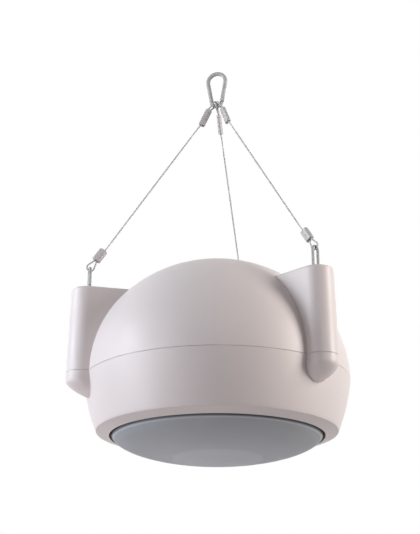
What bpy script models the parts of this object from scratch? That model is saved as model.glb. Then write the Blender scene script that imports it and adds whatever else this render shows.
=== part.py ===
"""Pendant loudspeaker hung from a snap hook by three wire-rope legs.

The origin is the hanging point, inside the crown of the snap hook. Everything is
modelled from the seam plane of the enclosure (z = 0) and hangs from one empty that
lies below the hanging point. All sizes are in metres.
"""

import math

import bmesh
import bpy
import numpy as np
from mathutils import Matrix, Vector

# Fits
TOUCH_GAP = 0.0003          # between pieces that touch
SLIP_GAP = 0.0004           # round a piece that drops into a pocket
FELT_GAP = 0.0007           # between the felt and the dome
WALL = 0.0035               # moulded wall of both shells
TRIM = 0.010                # how far cutters run past what they cut
ROUND_STEPS = 48            # facets round the big turned pieces
SMALL_STEPS = 16            # facets round small turned pieces

# Enclosure outline, from the seam plane
SEAM_RADIUS = 0.180
DOME_HEIGHT = 0.1678
LAND_RADIUS = 0.052         # flat land on top for the terminal cup
LAND_SEAT = 0.0462          # recess in that land for the cup's flange
LAND_SEAT_DEPTH = 0.0028
BELLY_DEPTH = 0.0696        # seam down to the lip's outer edge
BELLY_BULGE = 0.00265       # how far the belly bows out of the straight line
FRAME_RADIUS = 0.0995       # the woofer's frame, which the open front is built round
FRONT_MARGIN = 0.0446       # from the frame out to the lip's inner edge
LIP_INNER_RADIUS = FRAME_RADIUS + FRONT_MARGIN
LIP_WIDTH = 0.0178
LIP_OUTER_RADIUS = LIP_INNER_RADIUS + LIP_WIDTH
LIP_INNER_DEPTH = 0.0754
LOBE_COUNT = 3

# Lobes that carry the eyebolts
EYE_RADIUS = 0.180          # eyebolt axis from the speaker's axis
LOBE_HALF_WIDTH = 0.0215    # at the seam
LOBE_NOSE = 0.0258          # from the eyebolt's axis out to the nose, at the seam
LOBE_REACH = EYE_RADIUS + LOBE_NOSE
LOBE_DRAFT = 0.0232         # how far the nose leans in, per metre of height
LOBE_TOP = 0.1168           # height of the lobe's top over the seam, at the eyebolt
LOBE_ROUND = 0.0032         # rounding round the lobe's top
LOBE_ROOT = 0.085           # where the web ends inside the dome
TIP_START = 0.0100          # straight part of the nose under the seam
TIP_DEPTH = 0.0320          # seam down to the end of the tip
TIP_RUN = 0.0305            # how far the tip runs in over that depth
TIP_CURVE = 1.7             # how round the tip is in side view
LOBE_ROOF = 0.0045          # roof over the hollow of the lobe

# Baffle seat inside the lower shell
BAFFLE_FRONT = -0.0680      # front face of the baffle
BAFFLE_THICKNESS = 0.0087
LEDGE_THICKNESS = 0.0032
LEDGE_WIDTH = 0.0161        # from the lip's inner edge in to the ledge's bore
LEDGE_BORE = LIP_INNER_RADIUS - LEDGE_WIDTH
BOSS_RADIUS = 0.0050
BOSS_HEIGHT = 0.0080
BAFFLE_SCREW_INSET = 0.0106
BAFFLE_SCREW_CIRCLE = LIP_INNER_RADIUS - BAFFLE_SCREW_INSET
BAFFLE_SCREWS = 4
PORT_BORE = 0.0095
PORT_WALL = 0.0020
PORT_FLANGE = 0.0125
PORT_CLEARANCE = 0.0030     # between the woofer's frame and a port's flange
PORT_CIRCLE = FRAME_RADIUS + PORT_FLANGE + PORT_CLEARANCE
PORT_LENGTH = 0.055
PORT_AZIMUTHS = (90.0, 270.0)

# Shell screws at the seam
SHELL_BOSS_RADIUS = 0.0085
SHELL_BOSS_MARGIN = 0.0008  # boss's side inside the shell's outer face
SHELL_RIB = 0.0040          # thickness of the rib behind each boss
SHELL_BOSS_UP = 0.020
SHELL_BOSS_DOWN = 0.015
M4_RADIUS = 0.0020
M4_HEAD_RADIUS = 0.0038
M4_HEAD_HEIGHT = 0.0024
SHELL_SCREW_GRIP = 0.010    # thread inside the upper shell
BAFFLE_SCREW_GRIP = 0.007   # thread inside the lower shell's boss
WOOFER_SCREW_GRIP = 0.0070

# Grille
GRILLE_GAP = 0.0031         # dark gap between the lip and the grille
GRILLE_RADIUS = LIP_INNER_RADIUS - GRILLE_GAP
GRILLE_SAG = 0.0325
GRILLE_THICKNESS = 0.0012
GRILLE_EDGE_DEPTH = 0.0740  # seam down to the edge of the grille's dome
GRILLE_FULLNESS = 1.15      # power of the grille's profile: 1 is an ellipse, less is fuller
GROOVE_DEPTH = 0.0030

# Woofer
FRAME_SHEET = 0.0022
GASKET_THICKNESS = 0.0010
FRAME_BOLT_INSET = 0.0045
FRAME_BOLT_CIRCLE = FRAME_RADIUS - FRAME_BOLT_INSET
WOOFER_SCREWS = 4
FLANGE_WIDTH = 0.0115       # from the frame's edge in to the mouth of its cage
CAGE_MOUTH = FRAME_RADIUS - FLANGE_WIDTH
CUTOUT_MARGIN = 0.0025      # baffle's cutout round the cage
WOOFER_CUTOUT = CAGE_MOUTH + CUTOUT_MARGIN
CAGE_REAR = 0.0580
CAGE_DEPTH = 0.0520         # flange to the rear plate
CAGE_WINDOWS = 6
WINDOW_WIDTH = 0.0420
WINDOW_REACH = 0.0600       # how deep the window's cutter runs, across the cage's wall
REAR_BORE = 0.0260
COIL_INNER = 0.0202
COIL_WALL = 0.0008
WINDING = 0.0006
WINDING_LENGTH = 0.008
COIL_LENGTH = 0.0280
MAGNET_GAP = 0.0006
TOP_PLATE_RADIUS = 0.0520
TOP_PLATE_THICKNESS = 0.0060
MAGNET_RADIUS = 0.0580
MAGNET_BORE = 0.0280
MAGNET_THICKNESS = 0.0180
BACK_PLATE_RADIUS = 0.0500
BACK_PLATE_THICKNESS = 0.0060
ROLL_RADIUS = 0.0070        # of the surround
ROLL_MARGIN = 0.0030        # between the surround's roll and the cage's mouth
CONE_RIM = CAGE_MOUTH - 2 * ROLL_RADIUS - ROLL_MARGIN
CONE_SHEET = 0.0010
CONE_NECK_DEPTH = 0.0388    # rim to neck
SPIDER_SHEET = 0.0008
SPIDER_WAVE = 0.0012

# Tweeter on its post
POST_RADIUS = 0.0060
POST_HEAD_RADIUS = 0.0100
POST_HEAD = 0.0028
TWEETER_RADIUS = 0.0240
TWEETER_DEPTH = 0.0150
TWEETER_STANDOFF = 0.0120   # tweeter's back face behind the cone's rim
DOME_RADIUS = 0.0125

# Terminal cup, selector and transformer
CUP_BORE = 0.0380           # hole in the dome's land
CUP_FLANGE = 0.0458
CUP_SHEET = 0.0025
CUP_DEPTH = 0.0210
BLOCK_SIZE = (0.030, 0.012, 0.013)
BLOCK_OFFSET = -0.014
KNOB_OFFSET = 0.017
KNOB_RADIUS = 0.0085
KNOB_HEIGHT = 0.0080
KNOB_SHAFT = 0.0030
CORE_SIZE = (0.054, 0.018, 0.045)
CORE_LIMB = 0.018
CORE_WINDOW = (0.009, 0.027)
COIL_BUILD = 0.0070         # winding outside the core's thickness

# Crossover
BOARD_SIZE = (0.038, 0.080, 0.0016)
BOARD_RADIUS = FRAME_RADIUS + BOARD_SIZE[0] / 2
BOARD_STANDOFF = 0.0060
STANDOFF_RADIUS = 0.0030
INDUCTOR_RADIUS = 0.0120
INDUCTOR_BORE = 0.0050
INDUCTOR_HEIGHT = 0.0110
CAPACITOR_RADIUS = 0.0065
CAPACITOR_LENGTH = 0.0240

# Acoustic felt
FELT_THICKNESS = 0.0080
FELT_BOTTOM = SHELL_BOSS_UP + 0.0060
FELT_TOP = 0.745 * DOME_HEIGHT

# Eyebolts
EYE_WIRE = 0.0020           # radius of the eye's wire
EYE_SPAN = 0.0099           # between the two sides of the eye
EYE_TOP = 0.0341            # top of the eye over the lobe
COLLAR_RADIUS = 0.0068
COLLAR_HEIGHT = 0.0020
M6_RADIUS = 0.0030
SHANK_LENGTH = 0.0150       # below the seat on the lobe
WASHER_RADIUS = 0.0080
WASHER_THICKNESS = 0.0013
NUT_ACROSS_FLATS = 0.0100
NUT_HEIGHT = 0.0050

# Wire-rope legs
ROPE_RADIUS = 0.00125
STRAND_OFFSET = 0.00145     # each strand from the sleeve's middle
LEG_RISE = 0.2813           # eye's inner top up to the hook's inner seat
LOWER_SLEEVE = (0.0190, 0.0062, 0.0040)     # length, half width, half thickness
UPPER_SLEEVE = (0.0290, 0.0049, 0.0032)
LOWER_LOOP = 0.0051         # radius of the loop in the eye
LOWER_NECK = 0.0142         # eye's wire to the lower sleeve
UPPER_NECK_RADIUS = 0.0120  # sleeve's top end from the axis
UPPER_NECK_DROP = 0.0116    # hook's seat down to the sleeve's top end
UPPER_LEAN = 23.2           # degrees off vertical of the upper sleeves
SLEEVE_CHAMFER = 0.0008
TAIL = 0.0015               # rope end showing past the sleeve
STRAIGHT = 0.0020           # straight stretch of rope just inside a sleeve's mouth

# Snap hook
HOOK_WIRE = 0.0030          # wire radius
HOOK_SMALL_BEND = 0.0078    # centreline radius of the narrow end
HOOK_LARGE_BEND = 0.0134    # centreline radius of the wide end
HOOK_SPACING = 0.0338       # between the two bend centres
PIVOT_UP = 0.0035           # gate pivot up the straight side
GATE_LENGTH = 0.0235        # pivot to nose
FORK_BELOW = 0.0030         # gate below its pivot
BLADE_HALF = 0.0012         # half thickness of the hook's flat ends
SLOT_HALF = 0.0016
RIVET_RADIUS = 0.0011
RIVET_HEAD = 0.0020
RIVET_HEAD_HEIGHT = 0.0008

# Worked out from the sizes above

def belly_radius(depth):
    """Outer radius of the belly at a depth under the seam."""
    share = depth / BELLY_DEPTH
    straight = SEAM_RADIUS + (LIP_OUTER_RADIUS - SEAM_RADIUS) * share
    return straight + 4 * BELLY_BULGE * share * (1 - share)


SHELL_BOSS_OUTSIDE = min(SEAM_RADIUS, belly_radius(SHELL_BOSS_DOWN)) - SHELL_BOSS_MARGIN
SHELL_BOSS_CIRCLE = SHELL_BOSS_OUTSIDE - SHELL_BOSS_RADIUS
INNER_RADIUS = SEAM_RADIUS - WALL
INNER_HEIGHT = DOME_HEIGHT - WALL
LAND_LEVEL = DOME_HEIGHT * math.sqrt(1 - (LAND_RADIUS / SEAM_RADIUS) ** 2)
SEAT_LEVEL = LAND_LEVEL - LAND_SEAT_DEPTH
EYE_SEAT = LOBE_TOP + EYE_TOP - 2 * EYE_WIRE
HOOK_SEAT = EYE_SEAT + LEG_RISE
SMALL_CENTRE = HOOK_SEAT - HOOK_WIRE + HOOK_SMALL_BEND
LARGE_CENTRE = SMALL_CENTRE + HOOK_SPACING
HANG_DROP = LARGE_CENTRE + HOOK_LARGE_BEND - HOOK_WIRE
LOBE_STEP = 2 * math.pi / LOBE_COUNT


# Scene and collections

def clear_scene():
    """Remove the objects of the open scene."""
    for item in list(bpy.data.objects):
        bpy.data.objects.remove(item, do_unlink=True)


def make_collection(name):
    """Make a collection and link it to the scene."""
    collection = bpy.data.collections.new(name)
    bpy.context.scene.collection.children.link(collection)
    return collection


clear_scene()
PARTS = make_collection("pendant_speaker")
CUTTERS = make_collection("cutters")
FRAME = bpy.data.objects.new("seam_plane", None)
FRAME.location = (0.0, 0.0, -HANG_DROP)
PARTS.objects.link(FRAME)


# Materials

def material(name, colour, roughness=0.5, metallic=0.0):
    """Make a Principled material."""
    made = bpy.data.materials.new(name)
    made.use_nodes = True
    shader = made.node_tree.nodes["Principled BSDF"]
    shader.inputs["Base Color"].default_value = (*colour, 1.0)
    shader.inputs["Roughness"].default_value = roughness
    shader.inputs["Metallic"].default_value = metallic
    return made


FINISHES = {
    "shell": ((0.70, 0.66, 0.65), 0.45, 0.0),
    "grille": ((0.36, 0.38, 0.41), 0.50, 0.3),
    "board": ((0.32, 0.24, 0.15), 0.70, 0.0),
    "black_plastic": ((0.03, 0.03, 0.03), 0.45, 0.0),
    "black_steel": ((0.04, 0.04, 0.045), 0.40, 0.6),
    "zinc": ((0.62, 0.63, 0.64), 0.30, 1.0),
    "rope": ((0.55, 0.56, 0.57), 0.35, 1.0),
    "sleeve": ((0.66, 0.64, 0.62), 0.40, 1.0),
    "paper": ((0.05, 0.05, 0.05), 0.85, 0.0),
    "rubber": ((0.02, 0.02, 0.02), 0.70, 0.0),
    "cloth": ((0.45, 0.33, 0.12), 0.90, 0.0),
    "ferrite": ((0.08, 0.08, 0.08), 0.75, 0.0),
    "copper": ((0.72, 0.35, 0.18), 0.35, 1.0),
    "laminate": ((0.04, 0.22, 0.10), 0.50, 0.0),
    "felt": ((0.22, 0.22, 0.23), 0.95, 0.0),
    "titanium": ((0.55, 0.55, 0.58), 0.30, 1.0),
}


def finish(name, kind):
    """Make the material of one node from the list of finishes."""
    colour, roughness, metallic = FINISHES[kind]
    return material(name + "_" + kind, colour, roughness, metallic)


# Objects

def add_node(name, mesh, kind, at=(0.0, 0.0, 0.0), turn=0.0, parent=None):
    """Place a mesh as a node, turned about Z by an angle in radians."""
    node = bpy.data.objects.new(name, mesh)
    node.location = at
    node.rotation_euler = (0.0, 0.0, turn)
    node.parent = parent or FRAME
    mesh.materials.append(finish(name, kind))
    PARTS.objects.link(node)
    return node


def add_cutter(name, mesh):
    """Place a mesh that cuts, or is joined to, another one."""
    cutter = bpy.data.objects.new(name, mesh)
    cutter.parent = FRAME
    cutter.hide_render = True
    cutter.display_type = "WIRE"
    CUTTERS.objects.link(cutter)
    return cutter


def boolean(node, operation, mesh, name):
    """Cut a mesh from a node, or join it to the node."""
    cutter = add_cutter(node.name + "_" + name, mesh)
    modifier = node.modifiers.new(name, "BOOLEAN")
    modifier.operation = operation
    modifier.object = cutter
    modifier.solver = "EXACT"


def cut(node, mesh, name):
    """Cut a mesh from a node."""
    boolean(node, "DIFFERENCE", mesh, name)


def join(node, mesh, name):
    """Join a mesh to a node."""
    boolean(node, "UNION", mesh, name)


# Shapes

def turned(name, profile, steps=ROUND_STEPS, closed=True):
    """Turn a profile of (radius, height) points about Z, with a Screw modifier.

    The profile runs down its outer side. A closed one is a ring, and an open one
    starts and ends on the axis.
    """
    mesh = bpy.data.meshes.new(name + "_profile")
    points = [(radius, 0.0, height) for radius, height in profile]
    edges = [(i, i + 1) for i in range(len(points) - 1)]
    if closed:
        edges.append((len(points) - 1, 0))
    mesh.from_pydata(points, edges, [])
    guide = bpy.data.objects.new(name + "_guide", mesh)
    CUTTERS.objects.link(guide)
    screw = guide.modifiers.new("turn", "SCREW")
    screw.axis = "Z"
    screw.angle = 2 * math.pi
    screw.steps = steps
    screw.render_steps = steps
    screw.use_merge_vertices = True
    screw.merge_threshold = 0.00001
    screw.use_normal_calculate = False
    bpy.context.view_layer.update()
    depsgraph = bpy.context.evaluated_depsgraph_get()
    made = bpy.data.meshes.new_from_object(guide.evaluated_get(depsgraph))
    made.name = name
    bpy.data.objects.remove(guide, do_unlink=True)
    return shade(made)


def shade(mesh):
    """Shade a mesh smooth, with its sharp edges kept."""
    mesh.shade_smooth()
    mesh.set_sharp_from_angle(angle=math.radians(32))
    return mesh


def mesh_of(name, build):
    """Make a mesh with a function that fills a bmesh."""
    work = bmesh.new()
    build(work)
    bmesh.ops.recalc_face_normals(work, faces=work.faces)
    mesh = bpy.data.meshes.new(name)
    work.to_mesh(mesh)
    work.free()
    return shade(mesh)


def cylinder(radius, bottom, top, centre=(0.0, 0.0), steps=SMALL_STEPS):
    """A cylinder along Z between two heights."""
    def build(work):
        place = Matrix.Translation((centre[0], centre[1], (bottom + top) / 2))
        bmesh.ops.create_cone(
            work, cap_ends=True, segments=steps, radius1=radius, radius2=radius,
            depth=top - bottom, matrix=place)
    return mesh_of("cylinder", build)


def box(size, centre):
    """A box from its size and its centre."""
    def build(work):
        place = Matrix.Translation(centre) @ Matrix.Diagonal((*size, 1.0))
        bmesh.ops.create_cube(work, size=1.0, matrix=place)
    return mesh_of("box", build)


def loft(rings, wrap=False):
    """Skin a run of rings with as many points each. Wrapped, it is a tube's wall."""
    def build(work):
        rows = [[work.verts.new(point) for point in ring] for ring in rings]
        pairs = list(zip(rows, rows[1:]))
        if wrap:
            pairs.append((rows[-1], rows[0]))
        for low, high in pairs:
            for i, vertex in enumerate(low):
                j = (i + 1) % len(low)
                work.faces.new((vertex, low[j], high[j], high[i]))
        if not wrap:
            work.faces.new(list(reversed(rows[0])))
            work.faces.new(rows[-1])
    return mesh_of("loft", build)


def gather(meshes):
    """Put several separate meshes into one."""
    work = bmesh.new()
    for mesh in meshes:
        work.from_mesh(mesh)
    gathered = bpy.data.meshes.new("gathered")
    work.to_mesh(gathered)
    work.free()
    return gathered


def around(mesh, count, first=0.0):
    """Copies of a mesh spaced evenly about Z, as one mesh."""
    copies = []
    for i in range(count):
        copy = mesh.copy()
        copy.transform(Matrix.Rotation(first + i * 2 * math.pi / count, 4, "Z"))
        copies.append(copy)
    return gather(copies)


def rod(name, points, radius, sides=2, cyclic=False):
    """A round rod along points, as a closed mesh made from a curve."""
    curve = bpy.data.curves.new(name, "CURVE")
    curve.dimensions = "3D"
    curve.bevel_depth = radius
    curve.bevel_resolution = sides
    curve.use_fill_caps = True
    spline = curve.splines.new("POLY")
    spline.points.add(len(points) - 1)
    for slot, point in zip(spline.points, points):
        slot.co = (*point, 1.0)
    spline.use_cyclic_u = cyclic
    guide = bpy.data.objects.new(name + "_guide", curve)
    CUTTERS.objects.link(guide)
    bpy.context.view_layer.update()
    depsgraph = bpy.context.evaluated_depsgraph_get()
    mesh = bpy.data.meshes.new_from_object(guide.evaluated_get(depsgraph))
    bpy.data.objects.remove(guide, do_unlink=True)
    work = bmesh.new()
    work.from_mesh(mesh)
    bmesh.ops.remove_doubles(work, verts=work.verts, dist=0.00001)
    bmesh.ops.recalc_face_normals(work, faces=work.faces)
    work.to_mesh(mesh)
    work.free()
    mesh.materials.clear()
    return shade(mesh)


def smooth_path(points, spacing):
    """Points about a spacing apart along a smooth curve through the given ones."""
    given = [np.array(point, dtype=float) for point in points]
    given = [2 * given[0] - given[1]] + given + [2 * given[-1] - given[-2]]
    path = [given[1]]
    for before, start, end, after in zip(given, given[1:], given[2:], given[3:]):
        count = max(1, int(round(np.linalg.norm(end - start) / spacing)))
        for k in range(1, count + 1):
            t = k / count
            path.append(0.5 * (
                2 * start + (end - before) * t
                + (2 * before - 5 * start + 4 * end - after) * t ** 2
                + (3 * start - before - 3 * end + after) * t ** 3))
    return [tuple(point) for point in path]


def arc(centre, radius, start, end, count):
    """Points of an arc in (radius, height), between two angles in degrees."""
    angles = np.radians(np.linspace(start, end, count))
    return [(centre[0] + radius * math.cos(a), centre[1] + radius * math.sin(a))
            for a in angles]


# Outlines of the enclosure

def dome_outline(radius, height, top_radius, count=10):
    """The dome's elliptic side from a top radius down to the seam plane."""
    start = math.acos(top_radius / radius)
    return [(radius * math.cos(a), height * math.sin(a))
            for a in np.linspace(start, 0.0, count)]


def belly_outline(inset, count=7):
    """The belly's side from the seam down to the lip, moved in by an inset."""
    return [(belly_radius(depth) - inset, -depth)
            for depth in np.linspace(0.0, BELLY_DEPTH, count)]


def lobe_ring(height, shrink=0.0):
    """One level section of a lobe on +Y, shrunk by a wall or a rounding."""
    below = max(0.0, -height - TIP_START) / (TIP_DEPTH - TIP_START)
    below = min(below, 0.995)
    reach = LOBE_REACH - LOBE_DRAFT * max(height, 0.0) - TIP_RUN * below ** TIP_CURVE
    half = LOBE_HALF_WIDTH * math.sqrt(1 - below ** 2)
    reach -= shrink
    half = max(half - shrink, 0.0008)
    nose = reach - half
    points = [(half, LOBE_ROOT)]
    for angle in np.linspace(0.0, math.pi, 11):
        points.append((half * math.cos(angle), nose + half * math.sin(angle)))
    points.append((-half, LOBE_ROOT))
    return [(x, y, height) for x, y in points]


def lobe_solid():
    """A lobe above the seam, running a little below it."""
    rings = [lobe_ring(-TRIM), lobe_ring(0.0)]
    for angle in np.radians((0.0, 30.0, 60.0, 90.0)):
        rounding = LOBE_ROUND * (1 - math.cos(angle))
        level = LOBE_TOP - LOBE_ROUND * (1 - math.sin(angle))
        rings.append(lobe_ring(level, rounding))
    return loft(rings)


def lobe_hollow():
    """The hollow inside a lobe above the seam."""
    return loft([lobe_ring(-2 * TRIM, WALL), lobe_ring(0.0, WALL),
                 lobe_ring(LOBE_TOP - LOBE_ROOF, WALL)])


def tip_levels():
    """Heights of the sections of a lobe's tip, below the seam."""
    run = TIP_DEPTH - TIP_START
    return [-TIP_START - run * math.sin(a) for a in np.radians((0, 17, 34, 50, 67, 84))]


def tip_solid():
    """A lobe's tip below the seam, running a little above it."""
    return loft([lobe_ring(TRIM), lobe_ring(0.0)] + [lobe_ring(z) for z in tip_levels()])


def tip_hollow():
    """The hollow inside a lobe's tip."""
    levels = tip_levels()[:4]
    rings = [lobe_ring(2 * TRIM, WALL), lobe_ring(0.0, WALL)]
    for z in levels:
        ring = lobe_ring(z, WALL)
        rings.append([(x, y, height + WALL * (-z / TIP_DEPTH)) for x, y, height in ring])
    return loft(rings)


def half_turn_first():
    """First azimuth of what stands midway between the lobes."""
    return LOBE_STEP / 2


def polar(radius, azimuth):
    """A point at a radius, with the azimuth in degrees from +X."""
    return (radius * math.cos(math.radians(azimuth)), radius * math.sin(math.radians(azimuth)))


# Shells

def build_upper_shell():
    """The dome with its three lobes, hollow and open at the seam."""
    outer = [(CUP_BORE, SEAT_LEVEL), (LAND_SEAT, SEAT_LEVEL), (LAND_SEAT, LAND_LEVEL)]
    outer += dome_outline(SEAM_RADIUS, DOME_HEIGHT, LAND_RADIUS)
    outer += [(SEAM_RADIUS, -1.2 * TRIM), (CUP_BORE, -1.2 * TRIM)]
    node = add_node("upper_shell", turned("dome", outer), "shell")
    join(node, around(lobe_solid(), LOBE_COUNT), "lobes")
    inner_top = SEAT_LEVEL - WALL
    inner_land = INNER_RADIUS * math.sqrt(1 - (inner_top / INNER_HEIGHT) ** 2)
    inner = [(0.0, inner_top)] + dome_outline(INNER_RADIUS, INNER_HEIGHT, inner_land, 9)
    inner += [(INNER_RADIUS, -3 * TRIM), (0.0, -3 * TRIM)]
    cut(node, turned("dome_hollow", inner, closed=False), "hollow")
    cut(node, around(lobe_hollow(), LOBE_COUNT), "lobe_hollows")
    boss = cylinder(SHELL_BOSS_RADIUS, -1.5 * TRIM, SHELL_BOSS_UP, (0.0, SHELL_BOSS_CIRCLE))
    join(node, around(boss, LOBE_COUNT, half_turn_first()), "bosses")
    run = SEAM_RADIUS - WALL / 2 - SHELL_BOSS_CIRCLE
    rib = box((SHELL_RIB, run, SHELL_BOSS_UP + TRIM - 0.0004),
              (0.0, SHELL_BOSS_CIRCLE + run / 2, (SHELL_BOSS_UP - TRIM) / 2))
    join(node, around(rib, LOBE_COUNT, half_turn_first()), "ribs")
    wide = 3 * SEAM_RADIUS
    cut(node, box((wide, wide, 6 * TRIM), (0.0, 0.0, -3 * TRIM + TOUCH_GAP / 2)), "seam")
    hole = cylinder(M6_RADIUS + TOUCH_GAP, LOBE_TOP - 2 * TRIM, LOBE_TOP + TRIM, (0.0, EYE_RADIUS))
    cut(node, around(hole, LOBE_COUNT), "eyebolt_holes")
    pilot = cylinder(M4_RADIUS + TOUCH_GAP, -TRIM, SHELL_SCREW_GRIP + 0.002,
                     (0.0, SHELL_BOSS_CIRCLE), 12)
    cut(node, around(pilot, LOBE_COUNT, half_turn_first()), "screw_holes")


def build_lower_shell():
    """The belly with its lip, the tips of the lobes and the ledge for the baffle."""
    ledge_under = BAFFLE_FRONT + BAFFLE_THICKNESS + TOUCH_GAP
    ledge_top = ledge_under + LEDGE_THICKNESS
    outer = [(LEDGE_BORE, TRIM), (SEAM_RADIUS, TRIM)] + belly_outline(0.0)
    outer += [(LIP_INNER_RADIUS, -LIP_INNER_DEPTH), (LIP_INNER_RADIUS, ledge_under)]
    outer += [(LEDGE_BORE, ledge_under)]
    node = add_node("lower_shell", turned("belly", outer), "shell")
    join(node, around(tip_solid(), LOBE_COUNT), "tips")
    gutter = LIP_INNER_RADIUS + 0.9 * WALL
    inner = [(0.0, 2 * TRIM), (INNER_RADIUS, 2 * TRIM)] + belly_outline(WALL, 6)[:-1]
    inner += [(LIP_OUTER_RADIUS - 0.8 * WALL, -BELLY_DEPTH + 1.1 * WALL)]
    inner += [(gutter, -LIP_INNER_DEPTH + 1.3 * WALL), (gutter, ledge_top)]
    inner += [(0.0, ledge_top)]
    cut(node, turned("belly_hollow", inner, closed=False), "hollow")
    cut(node, around(tip_hollow(), LOBE_COUNT), "tip_hollows")
    boss = cylinder(SHELL_BOSS_RADIUS, -SHELL_BOSS_DOWN, TRIM, (0.0, SHELL_BOSS_CIRCLE))
    join(node, around(boss, LOBE_COUNT, half_turn_first()), "bosses")
    low_boss = cylinder(BOSS_RADIUS, ledge_under + LEDGE_THICKNESS / 2, ledge_top + BOSS_HEIGHT,
                        (BAFFLE_SCREW_CIRCLE, 0.0), 14)
    quarter = math.pi / BAFFLE_SCREWS
    join(node, around(low_boss, BAFFLE_SCREWS, quarter), "ledge_bosses")
    wide = 3 * SEAM_RADIUS
    cut(node, box((wide, wide, 4 * TRIM), (0.0, 0.0, 2 * TRIM - TOUCH_GAP / 2)), "seam")
    hole = cylinder(M4_RADIUS + TOUCH_GAP, -SHELL_BOSS_DOWN - TRIM, TRIM,
                    (0.0, SHELL_BOSS_CIRCLE), 12)
    cut(node, around(hole, LOBE_COUNT, half_turn_first()), "screw_holes")
    pilot = cylinder(M4_RADIUS + TOUCH_GAP, ledge_under - TRIM,
                     ledge_under + BAFFLE_SCREW_GRIP + 0.002, (BAFFLE_SCREW_CIRCLE, 0.0), 12)
    cut(node, around(pilot, BAFFLE_SCREWS, quarter), "pilot_holes")


def screw_mesh(shank_length, upward=True):
    """A pan-head screw on the Z axis. Its head's underside lies at z = 0."""
    profile = [(0.0, shank_length), (M4_RADIUS, shank_length), (M4_RADIUS, 0.0),
               (M4_HEAD_RADIUS, 0.0), (M4_HEAD_RADIUS, -M4_HEAD_HEIGHT), (0.0, -M4_HEAD_HEIGHT)]
    return turned("screw", profile, steps=10, closed=False)


def build_shell_screws():
    """Three screws that hold the shells together, driven from below."""
    length = SHELL_BOSS_DOWN + SHELL_SCREW_GRIP
    for i in range(LOBE_COUNT):
        angle = math.pi / 2 + half_turn_first() + i * LOBE_STEP
        x, y = polar(SHELL_BOSS_CIRCLE, math.degrees(angle))
        place = (x, y, -SHELL_BOSS_DOWN - TOUCH_GAP)
        add_node(f"shell_screw_{i + 1}", screw_mesh(length + TOUCH_GAP), "zinc", place)


# Baffle and grille

def build_baffle():
    """The baffle plate that carries the drive unit and the ports."""
    radius = LIP_INNER_RADIUS - SLIP_GAP
    back = BAFFLE_FRONT + BAFFLE_THICKNESS
    profile = [(WOOFER_CUTOUT, back), (radius, back), (radius, BAFFLE_FRONT)]
    groove_out = GRILLE_RADIUS + SLIP_GAP
    groove_in = GRILLE_RADIUS - GRILLE_THICKNESS - SLIP_GAP
    profile += [(groove_out, BAFFLE_FRONT), (groove_out, BAFFLE_FRONT + GROOVE_DEPTH)]
    profile += [(groove_in, BAFFLE_FRONT + GROOVE_DEPTH), (groove_in, BAFFLE_FRONT)]
    profile += [(WOOFER_CUTOUT, BAFFLE_FRONT)]
    node = add_node("baffle", turned("baffle", profile), "board")
    ports = [cylinder(PORT_BORE + PORT_WALL + SLIP_GAP, BAFFLE_FRONT - TRIM, back + TRIM,
                      polar(PORT_CIRCLE, azimuth)) for azimuth in PORT_AZIMUTHS]
    cut(node, gather(ports), "port_holes")
    hole = cylinder(M4_RADIUS + TOUCH_GAP, BAFFLE_FRONT - TRIM, back + TRIM,
                    (BAFFLE_SCREW_CIRCLE, 0.0), 12)
    cut(node, around(hole, BAFFLE_SCREWS, math.pi / BAFFLE_SCREWS), "rim_holes")
    pilot = cylinder(M4_RADIUS + TOUCH_GAP, BAFFLE_FRONT - TRIM, back + TRIM,
                     (FRAME_BOLT_CIRCLE, 0.0), 12)
    cut(node, around(pilot, WOOFER_SCREWS, math.pi / WOOFER_SCREWS), "driver_holes")
    post = cylinder(STANDOFF_RADIUS, back - 0.002, back + BOARD_STANDOFF, (BOARD_RADIUS, 0.0), 12)
    posts = []
    for side in (-1, 1):
        copy = post.copy()
        copy.transform(Matrix.Translation((0.0, side * 0.42 * BOARD_SIZE[1], 0.0)))
        posts.append(copy)
    join(node, gather(posts), "standoffs")


def build_baffle_screws():
    """Four screws through the baffle's rim into the lower shell."""
    length = BAFFLE_THICKNESS + TOUCH_GAP + BAFFLE_SCREW_GRIP
    for i in range(BAFFLE_SCREWS):
        x, y = polar(BAFFLE_SCREW_CIRCLE, 180 / BAFFLE_SCREWS + i * 360 / BAFFLE_SCREWS)
        place = (x, y, BAFFLE_FRONT - TOUCH_GAP)
        add_node(f"baffle_screw_{i + 1}", screw_mesh(length), "black_steel", place)


def build_ports():
    """Two tuned port tubes pressed into the baffle from the front."""
    front = BAFFLE_FRONT - TOUCH_GAP - PORT_WALL
    outer = PORT_BORE + PORT_WALL
    profile = [(PORT_BORE, front + PORT_LENGTH), (outer, front + PORT_LENGTH)]
    profile += [(outer, BAFFLE_FRONT - TOUCH_GAP), (PORT_FLANGE, BAFFLE_FRONT - TOUCH_GAP)]
    profile += [(PORT_FLANGE, front), (PORT_BORE + 0.0008, front), (PORT_BORE, front + 0.0012)]
    for i, azimuth in enumerate(PORT_AZIMUTHS):
        x, y = polar(PORT_CIRCLE, azimuth)
        mesh = turned("port", profile, SMALL_STEPS)
        add_node(f"port_tube_{i + 1}", mesh, "black_plastic", (x, y, 0.0))


def build_grille():
    """The domed sheet-steel grille, whose upright edge sits in the baffle's groove."""
    seat = BAFFLE_FRONT + GROOVE_DEPTH - TOUCH_GAP

    def side(offset):
        """The dome's profile from the rim in to the axis, moved in by an offset."""
        radius = GRILLE_RADIUS - offset
        sag = GRILLE_SAG - offset
        dome = [(radius * math.sin(a), -GRILLE_EDGE_DEPTH - sag * math.cos(a) ** GRILLE_FULLNESS)
                for a in np.linspace(math.pi / 2, 0.0, 11)[1:]]
        return [(radius, seat), (radius, -GRILLE_EDGE_DEPTH)] + dome
    outer = side(0.0)
    inner = side(GRILLE_THICKNESS)
    profile = list(reversed(inner)) + outer
    add_node("grille", turned("grille", profile, closed=False), "grille")


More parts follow.
